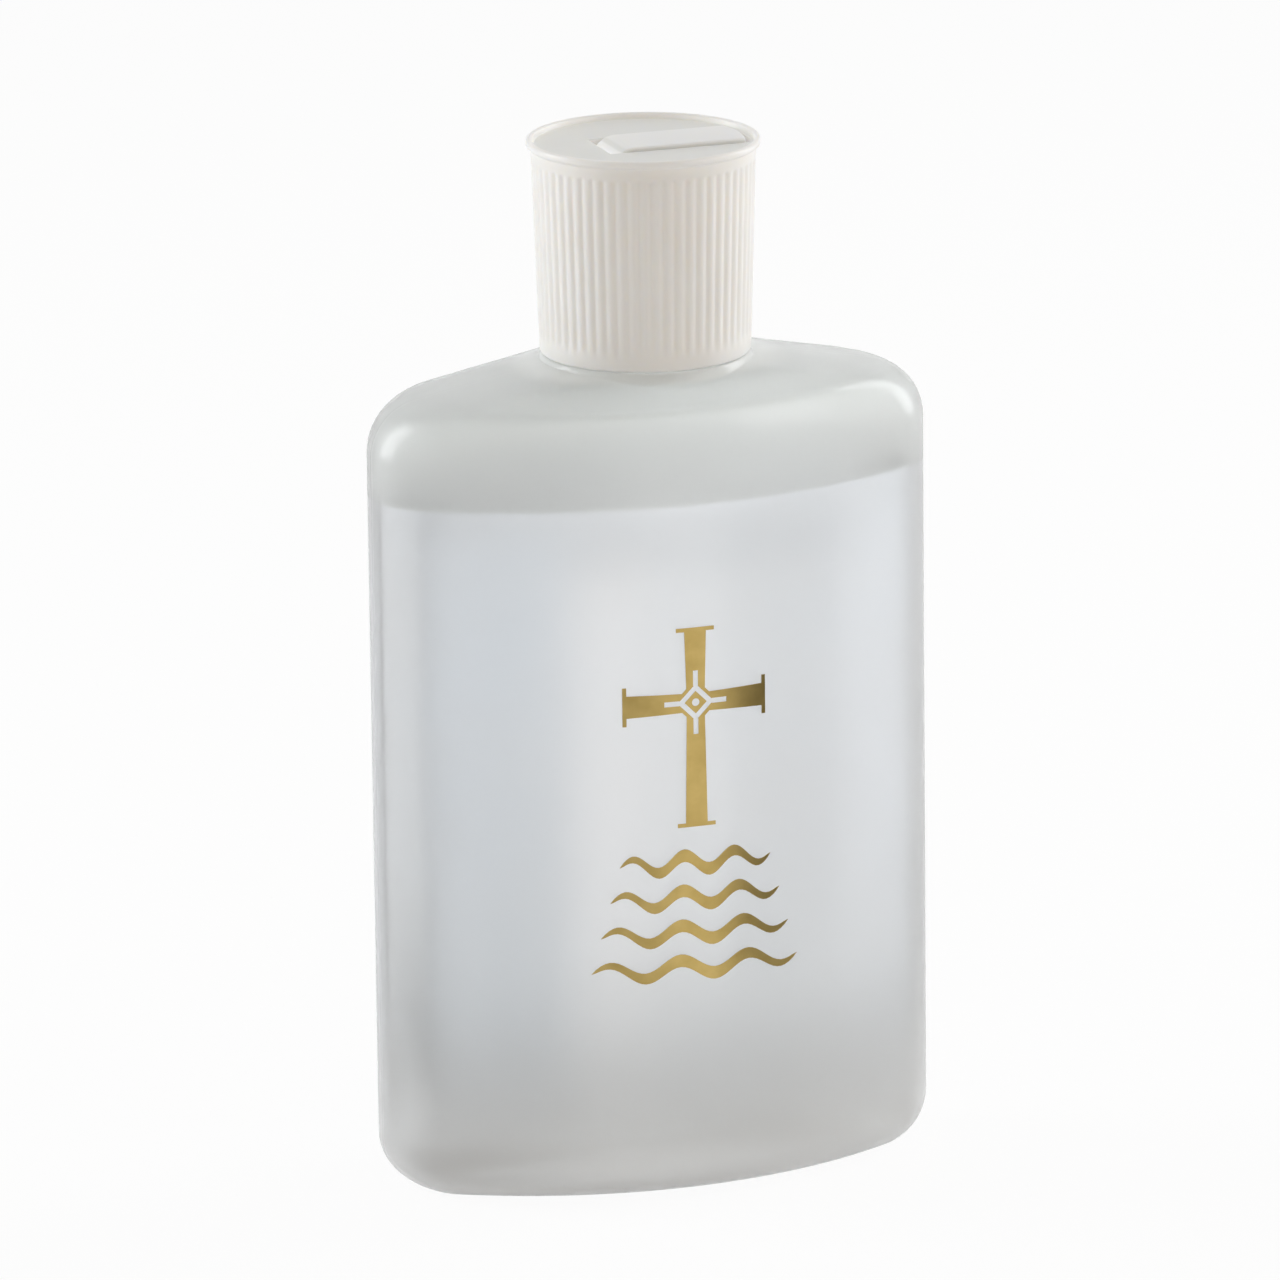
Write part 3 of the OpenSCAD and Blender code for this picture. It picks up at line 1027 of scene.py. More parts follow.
    def neck_rings(self) -> list[np.ndarray]:
        """Rings of the sweep above the land under the cap, the threaded neck, its lip and the bore.

        Returns:
            The rings, up the outside and down the inside.
        """
        angles = self.plan.headings
        sweep_top = self.shoulder_height + self.neck_sweep
        rings = []
        for turn in np.linspace(0, math.pi / 2, self.round_steps + 1)[self.buried_steps:]:
            radius = self.sweep_foot - self.neck_sweep * math.sin(turn)
            rings.append(turned_ring(radius, sweep_top - self.neck_sweep * math.cos(turn), angles))
        lip_foot = self.mouth_height - self.lip_radius
        for height in np.arange(self.thread.zone[0], lip_foot, self.thread_step):
            rings.append(turned_ring(self.neck_radius + self.thread.rise(angles, height), height, angles))
        lip = ((self.neck_radius - self.lip_radius, 0), (self.bore_radius + self.lip_radius, 90))
        for middle, start in lip:
            edge = arc((middle, lip_foot), self.lip_radius, start, start + 90, self.lip_steps)
            rings += [turned_ring(radius, height, angles) for radius, height in edge]
        slope_rise = (self.sweep_foot - self.bore_radius) * math.tan(self.shoulder_slope)
        bore_foot = self.shoulder_height - self.wall / math.cos(self.shoulder_slope) + slope_rise
        rings.append(turned_ring(self.bore_radius, bore_foot, angles))
        return rings

    def build(self) -> Piece:
        """Makes the bottle's mesh.

        Returns:
            The bottle.
        """
        outside = [self.collared(self.parted(ring)) for ring in self.shell_rings(0.0)]
        inside = self.shell_rings(self.wall)[::-1]
        body = loft("bottle_body", outside + self.neck_rings() + inside, Close.POLE, Close.POLE)
        smooth(body, self.sharp_angle)
        return body

    def dress(self) -> Piece:
        """Builds the bottle, gives it its plastic and sets it in place of the CAD bottle."""
        milky = TranslucentPlastic().material()
        return settle(self.build(), milky, "bottle", "bottle")


@dataclass(frozen=True)
class WaterFill:
    """The water, which fills the bottle to a level surface that creeps up a little at the wall."""

    bottle: SqueezeBottle = SqueezeBottle()
    gap: float = 0.03
    surface: float = 81.0
    creep: float = 0.3
    creep_reach: float = 2.4
    creep_steps: int = 8
    middle_share: float = 0.5
    sharp_angle: float = 35.0

    def build(self) -> Piece:
        """Makes the water's mesh.

        Returns:
            The water.
        """
        inset = self.bottle.wall + self.gap
        rings = self.bottle.base_rings(inset)
        rim = self.bottle.level(inset, self.surface)
        rings += self.bottle.wall_rings(rings[-1], rim)
        for share in np.linspace(0, 1, self.creep_steps + 1):
            height = self.surface - self.creep * (1 - (1 - share) ** 3)
            rings.append(self.bottle.level(inset + self.creep_reach * share, height))
        middle = rings[-1] * np.array([self.middle_share, self.middle_share, 1.0])
        fill = loft("water_fill", rings + [middle], Close.POLE, Close.POLE)
        smooth(fill, self.sharp_angle)
        return fill

    def dress(self) -> Piece:
        """Builds the water, gives it its finish and sets it in place of the CAD water."""
        return settle(self.build(), StillWater().material(), "bottle", "water")


# Foil


@dataclass(frozen=True)
class FoilPrint:
    """The hot-stamped foil, a smooth copy of the CAD foil on the front of the bottle."""

    plan: OvalPlan = OvalPlan()
    nodes: tuple[tuple[str, str], ...] = (("foil_cross", "cross_print"), ("foil_waves", "wave_print"))
    merge: float = 0.002
    front_share: float = 0.5
    sharp_angle: float = 30.0

    def build(self, source: Piece, name: str) -> Piece:
        """Makes a smooth copy of a CAD foil.

        Args:
            source: The CAD node's object.
            name: Name of the copy.

        Returns:
            The copy, with its loose triangles joined.
        """
        mesh = source.data.copy()
        mesh.name = name
        with opened(mesh) as work:
            bmesh.ops.remove_doubles(work, verts=work.verts, dist=self.merge * MM)
        made = linked(name, mesh)
        smooth(made, self.sharp_angle)
        self.follow_face(mesh)
        return made

    def follow_face(self, mesh: bpy.types.Mesh) -> None:
        """Gives the front of a print the normals of the bottle's round face, and its edges their own.

        Args:
            mesh: The mesh of the print.
        """
        normals = []
        for face in mesh.polygons:
            for corner in face.vertices:
                point = mesh.vertices[corner].co
                outward = Vector((point.x, point.y - self.plan.face_centre * MM, 0)).normalized()
                in_front = face.normal.dot(outward) > self.front_share
                normals.append(outward if in_front else face.normal)
        mesh.normals_split_custom_set(normals)

    def dress(self, frame: dict) -> None:
        """Builds each print, gives it its foil and sets it in place of the CAD foil.

        Args:
            frame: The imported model, with its CAD nodes.
        """
        gold = GoldFoil().material()
        for node, name in self.nodes:
            settle(self.build(frame["nodes"][node], name), gold, "bottle", node)


# Closure


class RibTree:
    """Geometry Nodes that sink valleys of named sizes into a turned skirt, so that ribs stay between them."""

    sizes = (
        "Rib Count",
        "Rib Height",
        "Crest Half",
        "Root Half",
        "Zone Foot",
        "Foot Run",
        "Zone Top",
        "Top Run",
        "Inner Limit",
    )

    def __init__(self) -> None:
        """Builds the tree."""
        self.tree = bpy.data.node_groups.new("cap_ribs", "GeometryNodeTree")
        self.new_socket("Geometry", "NodeSocketGeometry")
        self.inputs = {name: self.new_socket(name, "NodeSocketFloat") for name in self.sizes}
        self.inputs["Finish"] = self.new_socket("Finish", "NodeSocketMaterial")
        self.new_socket("Geometry", "NodeSocketGeometry", "OUTPUT")
        sheet = NodeSheet(self.tree)
        given = sheet.add("NodeGroupInput").outputs
        place = sheet.axes(sheet.add("GeometryNodeInputPosition").outputs[0])
        outward = sheet.add("ShaderNodeCombineXYZ", {"X": place["X"], "Y": place["Y"]}).outputs[0]
        outside = sheet.math("GREATER_THAN", sheet.length(outward), given["Inner Limit"])
        valley = sheet.math("SUBTRACT", 1.0, self.crest(sheet, given, place))
        share = sheet.product(valley, self.zone(sheet, given, place["Z"]), outside)
        sink = {"Scale": sheet.product(share, given["Rib Height"], -1.0)}
        sink["Vector"] = sheet.row("ShaderNodeVectorMath", outward, operation="NORMALIZE")
        offset = sheet.add("ShaderNodeVectorMath", sink, operation="SCALE").outputs["Vector"]
        steps = (
            ("GeometryNodeSetPosition", {"Offset": offset}),
            ("GeometryNodeStoreNamedAttribute", {"Name": MouldedPlastic.valley_name, "Value": share}),
            ("GeometryNodeRealizeInstances", {}),
            ("GeometryNodeSetMaterial", {"Material": given["Finish"]}),
        )
        skirt = given["Geometry"]
        for kind, inputs in steps:
            skirt = sheet.add(kind, {"Geometry": skirt, **inputs}).outputs[0]
        sheet.add("NodeGroupOutput", {"Geometry": skirt})

    def new_socket(self, name: str, kind: str, side: str = "INPUT") -> bpy.types.NodeTreeInterfaceSocket:
        """Adds a named socket to the tree's interface."""
        return self.tree.interface.new_socket(name, in_out=side, socket_type=kind)

    def crest(self, sheet: NodeSheet, given: Outputs, place: Outputs) -> Socket:
        """Share of the rib's height across its width, from the angle round the skirt.

        Args:
            sheet: The node sheet.
            given: The tree's inputs.
            place: The coordinates of a point.

        Returns:
            The output with the share.
        """
        turns = sheet.math("DIVIDE", sheet.math("ARCTAN2", place["Y"], place["X"]), 2 * math.pi)
        phase = sheet.math("FRACT", sheet.product(turns, given["Rib Count"]))
        away = sheet.math("ABSOLUTE", sheet.math("SUBTRACT", phase, 0.5))
        return sheet.step(away, given["Root Half"], given["Crest Half"])

    def zone(self, sheet: NodeSheet, given: Outputs, height: Socket) -> Number:
        """Share of the valley's depth along its length, which runs out at both ends.

        Args:
            sheet: The node sheet.
            given: The tree's inputs.
            height: The height of a point.

        Returns:
            The output with the share.
        """
        full_foot = sheet.math("ADD", given["Zone Foot"], given["Foot Run"])
        full_top = sheet.math("SUBTRACT", given["Zone Top"], given["Top Run"])
        foot = sheet.step(height, given["Zone Foot"], full_foot)
        return sheet.product(foot, sheet.step(height, given["Zone Top"], full_top))

    def apply(self, skirt: Piece, sizes: dict[str, object]) -> None:
        """Sinks the valleys into a skirt and leaves a plain mesh.

        Args:
            skirt: The object with the turned skirt.
            sizes: A value for each named input.
        """
        modifier = skirt.modifiers.new("ribs", "NODES")
        modifier.node_group = self.tree
        for name, value in sizes.items():
            modifier[self.inputs[name].identifier] = value
        as_plain_mesh(skirt)


@dataclass(frozen=True)
class FlipSpout:
    """The lever with its drum, trunnions and spout tube, one moulding that lies in the cap's trough."""

    pivot_x: float = -2.2
    pivot_z: float = 117.0
    top: float = 119.7
    half_width: float = 3.7
    thickness: float = 1.2
    reach: float = 11.5
    drum_radius: float = 2.7
    edge: float = 0.3
    least_edge: float = 0.01
    tube_radius: float = 1.9
    tube_end: float = 9.9
    bore: float = 1.1
    trunnion_radius: float = 1.2
    trunnion_length: float = 1.0
    rod_bevel: float = 0.15
    round_steps: int = 5
    drum_steps: int = 48
    width_steps: int = 16
    bore_sides: int = 48
    sharp_angle: float = 40.0
    # Painted light: the lever's plastic is a lighter, more neutral copy of the cap's ivory plastic, so that
    # its raised top reads brighter than the deck.
    plastic: MouldedPlastic = MouldedPlastic("lever_plastic_painted_lighter", pale=(0.9, 0.9, 0.89), warm=(0.86, 0.855, 0.84))

    @property
    def pivot(self) -> Vector:
        """Middle of the drum."""
        return Vector((self.pivot_x, 0, self.pivot_z))

    def section(self, across: float, inset: float) -> np.ndarray:
        """Outline of plate and drum at a distance from the middle.

        Args:
            across: Distance from the middle, along Y.
            inset: Distance inwards from the full outline.

        Returns:
            The points of the outline, in the XZ plane.
        """
        tip = math.sqrt(self.reach**2 - across**2) - inset
        top = self.top - inset
        under = self.top - self.thickness + inset
        drum = self.drum_radius - inset
        meet = math.degrees(math.asin((under - self.pivot_z) / drum))
        corner = max(self.edge - inset, self.least_edge)
        outline = arc((self.pivot_x, self.pivot_z), drum, 90, 360 + meet, self.drum_steps)
        outline += arc((tip - corner, under + corner), corner, 270, 360, self.round_steps)
        outline += arc((tip - corner, top - corner), corner, 0, 90, self.round_steps)
        return np.array([(x, across, z) for x, z in outline])

    def build(self) -> Piece:
        """Makes the lever's mesh.

        Returns:
            The lever.
        """
        flat = self.half_width - self.edge
        stations = [(across, 0.0) for across in np.linspace(-flat, flat, self.width_steps + 1)]
        turns = np.linspace(0, math.pi / 2, self.round_steps + 1)[1:]
        ends = [(flat + self.edge * math.sin(turn), self.edge * (1 - math.cos(turn))) for turn in turns]
        stations = [(-across, inset) for across, inset in ends[::-1]] + stations + ends
        rings = [self.section(across, inset) for across, inset in stations]
        lever = loft("spout_lever", rings, Close.FACE, Close.FACE)
        face_outwards(lever)
        pivot = self.pivot
        side = Vector((0, self.half_width + self.trunnion_length, 0))
        through = Vector((2 * self.reach, 0, 0))
        tube_end = Vector((self.tube_end, 0, self.pivot_z))
        tube = rod("tube", self.tube_radius, pivot, tube_end, self.rod_bevel)
        fuse(lever, tube, Fuse.ADD)
        trunnions = rod("trunnions", self.trunnion_radius, pivot - side, pivot + side, self.rod_bevel)
        fuse(lever, trunnions, Fuse.ADD)
        bore = rod("bore", self.bore, pivot - through, pivot + through, sides=self.bore_sides)
        fuse(lever, bore, Fuse.CUT)
        smooth(lever, self.sharp_angle)
        keep_flats(lever)
        return lever

    def dress(self) -> Piece:
        """Builds the lever, gives it its plastic and sets it in place of the CAD spout."""
        return settle(self.build(), self.plastic.material(), "spout", "flip_spout")


@dataclass(frozen=True)
class ScrewCap:
    """The ribbed screw cap with its rim, deck, trough for the lever, valve seat and inner thread."""

    spout: FlipSpout = FlipSpout()
    foot: float = 95.6
    top: float = 120.0
    inside: float = 10.2
    foot_radius: float = 11.92
    foot_round: float = 0.3
    mouth_bevel: float = 0.2
    head_radius: float = 12.67
    rim_radius: float = 13.2
    rim_foot: float = 119.1
    rim_round: float = 0.34
    rim_fillet: float = 0.25
    deck_radius: float = 12.45
    deck_top: float = 119.3
    deck_foot: float = 118.1
    deck_fillet: float = 0.2
    rib_count: int = 58
    rib_height: float = 0.14
    rib_width: float = 1.1
    rib_crest: float = 0.35
    rib_foot: float = 96.8
    rib_top: float = 117.9
    foot_run: float = 1.8
    top_run: float = 0.6
    thread: ScrewThread = ScrewThread(low=101.3525, depth=1.02)
    thread_step: float = 0.24
    thread_lead: float = 1.0
    liner_top: float = 110.3
    press_outer: float = 9.0
    press_inner: float = 7.4
    trough_half: float = 3.95
    trough_reach: float = 10.448
    ledge_reach: float = 11.9
    ledge_top: float = 118.25
    trough_floor: float = 114.85
    trough_back: float = -5.15
    trough_edge: float = 0.2
    seat_radius: float = 2.76
    socket_radius: float = 1.26
    socket_half: float = 4.95
    orifice_radius: float = 1.3
    housing_wall: float = 1.4
    bite: float = 0.5
    foot_run_rings: int = 8
    skirt_rings: int = 9
    top_run_rings: int = 5
    foot_steps: int = 6
    rim_steps: int = 5
    fillet_steps: int = 4
    edge_steps: int = 4
    trough_steps: int = 24
    housing_steps: int = 32
    wide_sides: int = 96
    narrow_sides: int = 48
    sharp_angle: float = 40.0

    def rib_share(self, width: float) -> float:
        """Half a width as a share of the way from rib to rib, round the foot."""
        pitch = 2 * math.pi * self.foot_radius / self.rib_count
        return width / 2 / pitch

    @property
    def angles(self) -> np.ndarray:
        """Angles round the cap, eight to a rib, at its foot, flanks and crest.

        Returns:
            The angles in radians.
        """
        root = self.rib_share(self.rib_width)
        crest = self.rib_share(self.rib_crest)
        flank = (root + crest) / 2
        offsets = np.array([-0.5, -root, -flank, -crest, 0.0, crest, flank, root])
        middle = np.arange(self.rib_count) + 0.5
        return ((middle[:, None] + offsets[None, :]) / self.rib_count * 2 * math.pi).ravel()

    def skirt_radius(self, height: float) -> float:
        """Radius of the plain skirt at a height."""
        share = (height - self.foot) / (self.rim_foot - self.foot)
        return self.foot_radius + (self.head_radius - self.foot_radius) * share

    def outer_profile(self) -> Profile:
        """Profile from the foot's inner edge up the skirt and over the rim to the deck.

        Returns:
            Radius and height of each point.
        """
        low_run = self.rib_foot + self.foot_run
        high_run = self.rib_top - self.top_run
        heights = np.concatenate([
            np.linspace(self.rib_foot, low_run, self.foot_run_rings),
            np.linspace(low_run, high_run, self.skirt_rings)[1:-1],
            np.linspace(high_run, self.rib_top, self.top_run_rings),
        ])
        foot, fillet, rim, groove = self.foot_round, self.rim_fillet, self.rim_round, self.deck_fillet
        outside = self.rim_radius - rim
        profile = [(self.inside + self.mouth_bevel, self.foot)]
        profile += arc((self.foot_radius - foot, self.foot + foot), foot, -90, 0, self.foot_steps)
        profile += [(self.skirt_radius(height), height) for height in heights]
        under_rim = (self.head_radius + fillet, self.rim_foot - fillet)
        profile += arc(under_rim, fillet, 180, 90, self.fillet_steps)
        profile += arc((outside, self.rim_foot + rim), rim, -90, 0, self.rim_steps)
        profile += arc((outside, self.top - rim), rim, 0, 90, self.rim_steps)
        profile += arc((self.deck_radius + rim, self.top - rim), rim, 90, 180, self.rim_steps)
        profile += arc((self.deck_radius - groove, self.deck_top + groove), groove, 0, -90, self.fillet_steps)
        return profile

    def inner_rings(self, angles: np.ndarray) -> list[np.ndarray]:
        """Rings of the threaded inside.

        Args:
            angles: Angles round the cap, in radians.

        Returns:
            The rings, from under the deck down to the foot.
        """
        low, high = self.thread.zone
        heights = [self.deck_foot, high + self.thread_lead]
        heights += [*np.arange(high, low, -self.thread_step), low, self.foot + self.mouth_bevel]
        return [turned_ring(self.inside - self.thread.rise(angles, z), z, angles) for z in heights]

    def tongue(self, back: float, reach: float, half: float, steps: int) -> np.ndarray:
        """Outline from above with a straight back and sides and a round front.

        Args:
            back: X of its back.
            reach: Radius of its front, round the middle of the cap.
            half: Half its width.
            steps: Number of chords in its front.

        Returns:
            Points with X and Y, counter-clockwise.
        """
        limit = math.degrees(math.asin(half / reach))
        front = arc((0.0, 0.0), reach, -limit, limit, steps)
        return np.array(front + [(back, half), (back, -half)])

    def trough(self, back: float, reach: float, low: float, high: float, edge: float = 0.0) -> Piece:
        """A solid that cuts a part of the trough.

        Args:
            back: X of its straight back end.
            reach: Radius of its round front end.
            low: Height of its floor.
            high: Height of its top.
            edge: Radius by which its upper edge is rounded.

        Returns:
            The object with the closed mesh.
        """
        stations = [(0.0, low)]
        for turn in np.linspace(0, math.pi / 2, self.edge_steps + 1) if edge else [0.0]:
            stations.append((edge * (1 - math.cos(turn)), high - edge + edge * math.sin(turn)))
        stations.append((edge, high + self.bite))
        rings = []
        for swell, height in stations:
            half = self.trough_half + swell
            outline = self.tongue(back - swell, reach + swell, half, self.trough_steps)
            rings.append(levelled(outline, height))
        return loft("trough", rings, Close.FACE, Close.FACE)

    def housing(self) -> list[Piece]:
        """The trough's walls and the ring that presses on the liner, both hung from the deck.

        Returns:
            The two solids.
        """
        half = self.spout.half_width + self.spout.trunnion_length + self.housing_wall
        back = self.trough_back - self.housing_wall
        low = self.spout.pivot_z - self.seat_radius - self.housing_wall
        high = self.deck_foot + self.bite
        outline = self.tongue(back, self.inside + self.bite, half, self.housing_steps)
        walls = loft("walls", [levelled(outline, z) for z in (low, high)], Close.FACE, Close.FACE)
        start = Vector((0, 0, self.liner_top))
        end = start + Vector((0, 0, high - self.liner_top))
        clear = Vector((0, 0, self.bite))
        ring = rod("ring", self.press_outer, start, end, sides=self.wide_sides)
        hole = rod("hole", self.press_inner, start - clear, end + clear, sides=self.wide_sides)
        fuse(ring, hole, Fuse.CUT)
        return [walls, ring]

    def room(self) -> list[Piece]:
        """The space for the lever, its drum and trunnions, with the orifice below.

        Returns:
            The solids that cut it.
        """
        pivot = self.spout.pivot
        drum = Vector((0, 1, 0)) * self.trough_half
        pins = Vector((0, 1, 0)) * self.socket_half
        down = Vector((0, 0, self.seat_radius + self.housing_wall + self.bite))
        return [
            self.trough(self.trough_back, self.ledge_reach, self.ledge_top, self.deck_top, self.trough_edge),
            self.trough(self.trough_back, self.trough_reach, pivot.z, self.ledge_top),
            self.trough(pivot.x, self.trough_reach, self.trough_floor, pivot.z),
            rod("seat", self.seat_radius, pivot - drum, pivot + drum, sides=self.wide_sides),
            rod("sockets", self.socket_radius, pivot - pins, pivot + pins, sides=self.narrow_sides),
            rod("orifice", self.orifice_radius, pivot - down, pivot, sides=self.narrow_sides),
        ]

    def build(self, finish: Finish) -> Piece:
        """Makes the cap's mesh.

        Args:
            finish: The material that the rib tree sets.

        Returns:
            The cap.
        """
        angles = self.angles
        outer = [turned_ring(radius, height, angles) for radius, height in self.outer_profile()]
        shell = loft("screw_cap", self.inner_rings(angles) + outer, Close.FACE, Close.FACE)
        for solid in self.housing():
            fuse(shell, solid, Fuse.ADD)
        for space in self.room():
            fuse(shell, space, Fuse.CUT)
        RibTree().apply(shell, {
            "Rib Count": float(self.rib_count),
            "Rib Height": self.rib_height * MM,
            "Crest Half": self.rib_share(self.rib_crest),
            "Root Half": self.rib_share(self.rib_width),
            "Zone Foot": self.rib_foot * MM,
            "Zone Top": self.rib_top * MM,
            "Foot Run": self.foot_run * MM,
            "Top Run": self.top_run * MM,
            "Inner Limit": (self.inside + self.foot_radius) / 2 * MM,
            "Finish": finish,
        })
        smooth(shell, self.sharp_angle)
        keep_flats(shell)
        return shell

    def dress(self) -> Piece:
        """Builds the cap, which lets light through to the shoulder, and sets it in place of the CAD cap.

        Returns:
            The cap.
        """
        ivory = MouldedPlastic().material()
        cap = self.build(ivory)
        cap.visible_shadow = False
        return settle(cap, ivory, "cap", "cap_body")


@dataclass(frozen=True)
class SealingLiner:
    """The soft ring between the neck's mouth and the cap."""

    inner: float = 6.9
    outer: float = 9.0
    low: float = 109.3
    high: float = 110.3
    edge: float = 0.15
    edge_steps: int = 3
    sides: int = 96
    merge: float = 0.001
    sharp_angle: float = 40.0

    def build(self) -> Piece:
        """Makes the liner's mesh.

        Returns:
            The liner.
        """
        near, far = self.inner + self.edge, self.outer - self.edge
        bottom, top = self.low + self.edge, self.high - self.edge
        corners = ((near, bottom, 180), (far, bottom, 270), (far, top, 0), (near, top, 90))
        profile: Profile = []
        for radius, height, start in corners:
            profile += arc((radius, height), self.edge, start, start + 90, self.edge_steps)
        profile.append(profile[0])
        rings = [turned_ring(radius, height, even_angles(self.sides)) for radius, height in profile]
        ring = loft("liner_ring", rings, Close.FACE, Close.FACE)
        with opened(ring.data) as work:
            lids = [face for face in work.faces if len(face.verts) == self.sides]
            bmesh.ops.delete(work, geom=lids, context="FACES_ONLY")
            bmesh.ops.remove_doubles(work, verts=work.verts, dist=self.merge * MM)
        smooth(ring, self.sharp_angle)
        return ring

    def dress(self) -> Piece:
        """Builds the liner, gives it its foam and sets it in place of the CAD liner."""
        return settle(self.build(), LinerFoam().material(), "liner", "sealing_liner")


# Studio


def heading(azimuth: float, elevation: float) -> Vector:
    """Direction from the bottle.

    Args:
        azimuth: Angle in degrees from its front, towards its right.
        elevation: Angle in degrees above the floor.

    Returns:
        A vector of length 1.
    """
    turn = math.radians(azimuth)
    lift = math.radians(elevation)
    return Vector((math.sin(turn) * math.cos(lift), -math.cos(turn) * math.cos(lift), math.sin(lift)))


@dataclass(frozen=True)
class Softbox:
    """A long or wide lamp, aimed at the bottle."""

    name: str
    azimuth: float
    elevation: float
    distance: float
    width: float
    height: float
    level: float
    colour: Colour

    def place(self, target: Vector) -> None:
        """Hangs the lamp, as bright as level on a white surface that faces it at the target.

        Args:
            target: The point that it is aimed at, in metres.
        """
        lamp = bpy.data.lights.new(self.name, "AREA")
        lamp.shape = "RECTANGLE"
        lamp.size = self.width
        lamp.size_y = self.height
        lamp.energy = math.pi**2 * self.distance**2 * self.level
        lamp.color = self.colour
        made = linked(self.name, lamp)
        away = heading(self.azimuth, self.elevation)
        made.location = target + away * self.distance
        made.rotation_mode = "QUATERNION"
        made.rotation_quaternion = away.to_track_quat("Z", "Y")
        made.visible_camera = False
        made.visible_transmission = False


class CardUse(Enum):
    """What a card is there for."""

    MIRROR = "it shows in the gloss of the bottle"
    THROUGH = "it shows through the bottle"


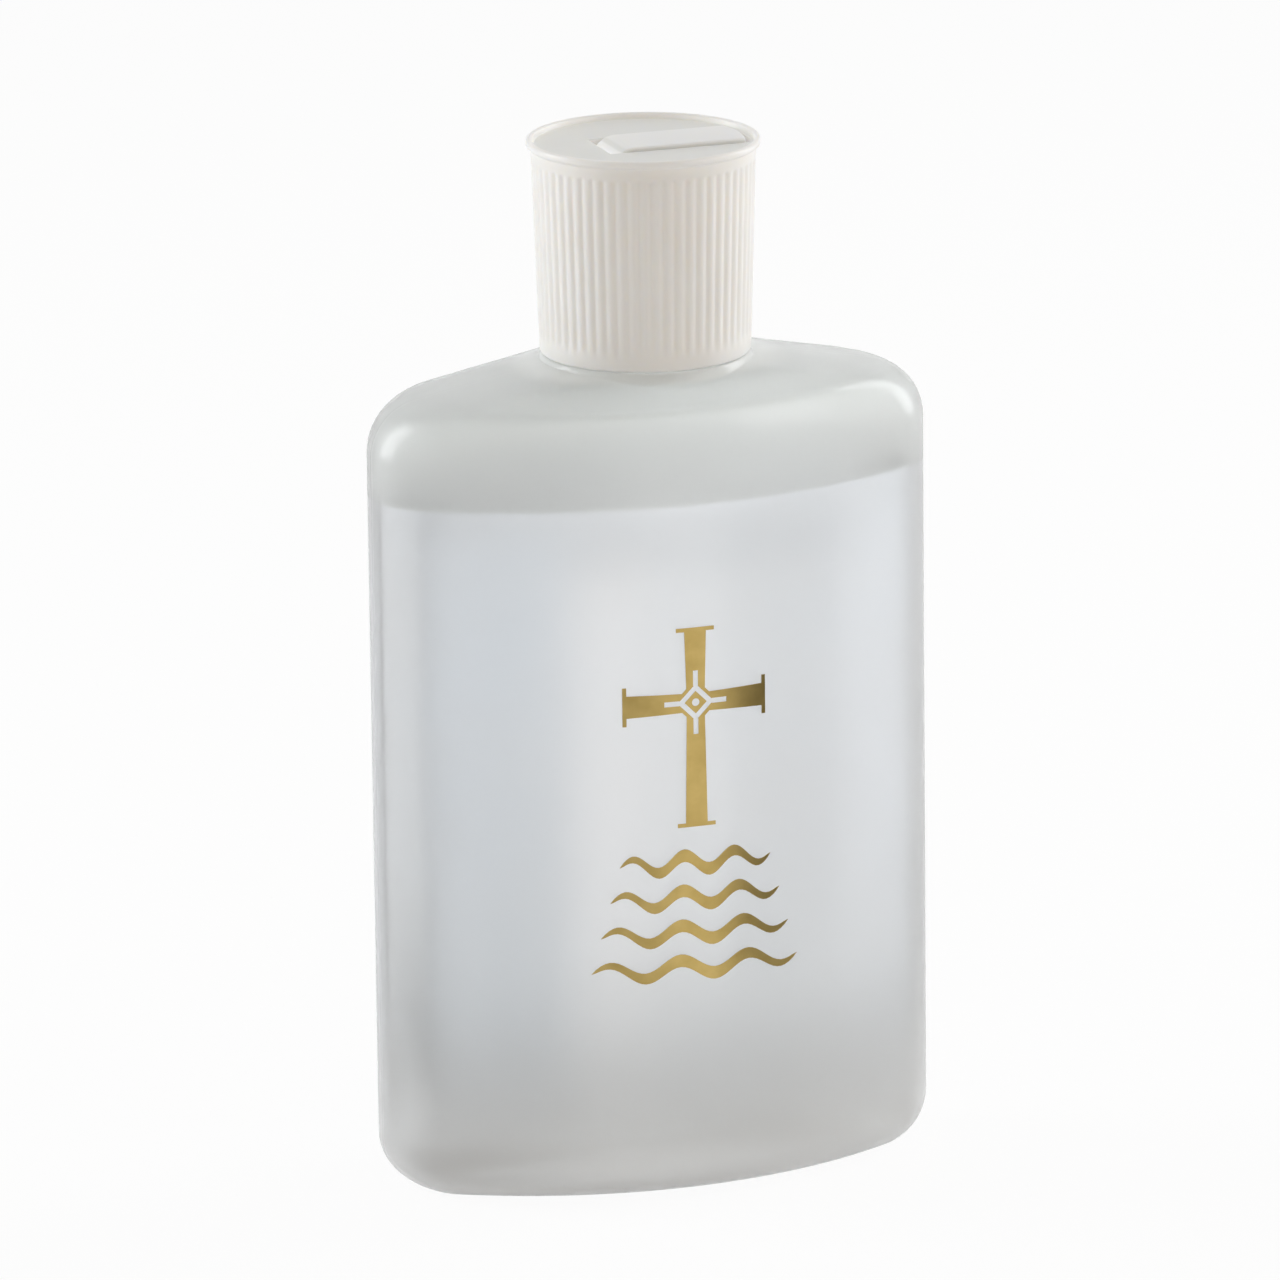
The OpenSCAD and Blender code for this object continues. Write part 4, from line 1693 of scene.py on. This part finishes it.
@dataclass(frozen=True)
class Card:
    """An upright card beside the bottle, which the camera and the light pass."""

    name: str
    start: Span
    end: Span
    low: float
    high: float
    colour: Colour
    use: CardUse
    foot_level: float = 1.0

    def place(self) -> None:
        """Sets the card up between its two ends."""
        flat = (self.start, self.end, self.end, self.start)
        heights = (self.low, self.low, self.high, self.high)
        card = mesh_object(self.name, levelled(np.array(flat), np.array(heights)), [(0, 1, 2, 3)])
        material, sheet, place = new_material(self.name)
        foot = tuple(part * self.foot_level for part in self.colour)
        rise = sheet.ramp(sheet.axes(place)["Z"], self.low, self.high)
        glow = sheet.add("ShaderNodeEmission", {"Color": sheet.blend(rise, foot, self.colour)})
        sheet.add("ShaderNodeOutputMaterial", {"Surface": glow.outputs[0]})
        coat(card, material)
        card.visible_camera = False
        card.visible_diffuse = False
        card.visible_shadow = False
        card.visible_glossy = self.use is CardUse.MIRROR
        card.visible_transmission = self.use is CardUse.THROUGH
        card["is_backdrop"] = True


@dataclass(frozen=True)
class Studio:
    """A white room with a pale floor, soft lamps and the camera."""

    target: Triple = (0.0, 0.0, 0.060)
    azimuth: float = -19.07
    elevation: float = 15.19
    roll: float = 0.645
    distance: float = 1.288
    lens: float = 319.1
    shift: Span = (-8.88 / IMAGE_SIDE, 13.0 / IMAGE_SIDE)
    sight: float = 24.0
    floor_half: float = 6.0
    floor_colour: Colour = (0.9, 0.9, 0.9)
    floor_white: Triple = (0.94, 0.62, 0.97)
    room_white: Triple = (1.0, 1.0, 1.0)
    walls: Colour = (0.54, 0.545, 0.55)
    ceiling: Colour = (0.4, 0.4, 0.4)
    ceiling_zone: Span = (0.1, 0.9)
    front: Colour = (0.46, 0.39, 0.3)
    front_zone: Span = (-0.3, -0.9)
    lamps: tuple[Softbox, ...] = (
        Softbox("left_lamp", -118, 18, 0.7, 0.3, 0.6, 0.54, (0.97, 0.99, 1.0)),
        Softbox("right_lamp", 96, 20, 0.7, 0.3, 0.6, 0.46, (0.97, 0.99, 1.0)),
        Softbox("fill_lamp", 44, 18, 1.0, 0.5, 0.5, 0.13, (1.0, 0.98, 0.98)),
        Softbox("front_lamp", -15, 24, 1.0, 0.6, 0.4, 0.03, (1.0, 0.86, 0.7)),
    )
    cards: tuple[Card, ...] = (
        Card("left_card", (-46, 22), (-11, 22), 0, 72, (1.3, 1.34, 1.39), CardUse.THROUGH, 0.98),
        Card("blue_card", (-11, 22), (-2, 22), 0, 72, (0.94, 0.98, 1.02), CardUse.THROUGH, 0.78),
        Card("bright_card", (-2, 22), (5, 22), 0, 66, (1.32, 1.28, 1.25), CardUse.THROUGH, 0.92),
        Card("white_card", (5, 22), (24, 22), 0, 66, (1.17, 1.16, 1.15), CardUse.THROUGH, 0.87),
        Card("right_card", (24, 22), (46, 22), 0, 72, (1.4, 1.4, 1.42), CardUse.THROUGH, 0.84),
        Card("dry_card", (4, 22), (46, 22), 72, 104, (1.25, 1.25, 1.25), CardUse.THROUGH),
        Card("shade_card", (-40, -82), (12, -82), 0, 60, (0.62, 0.61, 0.6), CardUse.MIRROR),
        Card("gold_card", (12, -82), (36, -82), 0, 60, (1.1, 1.08, 1.05), CardUse.MIRROR),
        Card("dark_card", (40, -82), (100, -66), 0, 62, (0.05, 0.05, 0.05), CardUse.MIRROR),
    )

    def seen(self, sheet: NodeSheet, shares: Triple) -> Socket:
        """A share for rays that show a surface, which is 0 for those that only light the bottle.

        Args:
            sheet: The node sheet.
            shares: Share for rays from the camera, from a gloss and through a clear piece.

        Returns:
            The output with the share.
        """
        path = sheet.add("ShaderNodeLightPath").outputs
        kinds = ("Is Camera Ray", "Is Glossy Ray", "Is Transmission Ray")
        camera, gloss, clear = (sheet.product(path[kind], share) for kind, share in zip(kinds, shares))
        return sheet.math("MAXIMUM", camera, sheet.math("MAXIMUM", gloss, clear))

    def light_room(self) -> None:
        """Sets a white background that lights the bottle softly."""
        world = bpy.data.worlds.new("white_room")
        bpy.context.scene.world = world
        world.use_nodes = True
        world.node_tree.nodes.clear()
        sheet = NodeSheet(world.node_tree)
        axes = sheet.axes(sheet.add("ShaderNodeTexCoord").outputs["Generated"])
        upward = sheet.step(axes["Z"], *self.ceiling_zone, form="LINEAR")
        forward = sheet.step(axes["Y"], *self.front_zone, form="LINEAR")
        tint = sheet.blend(forward, sheet.blend(upward, self.walls, self.ceiling), self.front)
        soft = sheet.row("ShaderNodeBackground", tint)
        white = sheet.row("ShaderNodeBackground", WHITE)
        mix = sheet.row("ShaderNodeMixShader", self.seen(sheet, self.room_white), soft, white)
        sheet.add("ShaderNodeOutputWorld", {"Surface": mix})

    def lay_floor(self) -> None:
        """Lays a wide pale floor that looks white but keeps the shadow."""
        half = self.floor_half / MM
        corners = np.array([(-half, -half, 0), (half, -half, 0), (half, half, 0), (-half, half, 0)])
        floor = mesh_object("floor", corners, [(0, 1, 2, 3)])
        material, sheet, _ = new_material("pale_floor")
        matt = sheet.row("ShaderNodeBsdfDiffuse", (*self.floor_colour, 1.0))
        white = sheet.row("ShaderNodeEmission", WHITE)
        mix = sheet.row("ShaderNodeMixShader", self.seen(sheet, self.floor_white), matt, white)
        sheet.add("ShaderNodeOutputMaterial", {"Surface": mix})
        coat(floor, material)
        floor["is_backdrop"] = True

    def set_camera(self) -> None:
        """Sets the camera at the photograph's angle and framing."""
        data = bpy.data.cameras.new("camera")
        data.lens = self.lens
        data.sensor_width = SENSOR_WIDTH
        data.shift_x, data.shift_y = self.shift
        data.clip_end = self.sight
        camera = linked("camera", data)
        away = heading(self.azimuth, self.elevation)
        camera.location = Vector(self.target) + away * self.distance
        camera.rotation_mode = "QUATERNION"
        level = (-away).to_track_quat("-Z", "Y")
        camera.rotation_quaternion = level @ Quaternion((0, 0, 1), math.radians(-self.roll))
        bpy.context.scene.camera = camera

    def build(self) -> None:
        """Sets up floor, light and camera."""
        self.light_room()
        self.lay_floor()
        for lamp in self.lamps:
            lamp.place(Vector(self.target))
        for card in self.cards:
            card.place()
        self.set_camera()
        bpy.context.scene.view_settings.view_transform = "Standard"


def main() -> None:
    """Builds the bottle and its studio."""
    logging.basicConfig(level=logging.INFO, format="%(message)s")
    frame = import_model()
    cad_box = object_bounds()
    SqueezeBottle().dress()
    WaterFill().dress()
    FoilPrint().dress(frame)
    SealingLiner().dress()
    ScrewCap().dress()
    FlipSpout().dress()
    Studio().build()
    boxes = {"cad": cad_box, "visual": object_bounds()}
    {name: [list(corner) for corner in box] for name, box in boxes.items()}


if __name__ == "__main__":
    main()
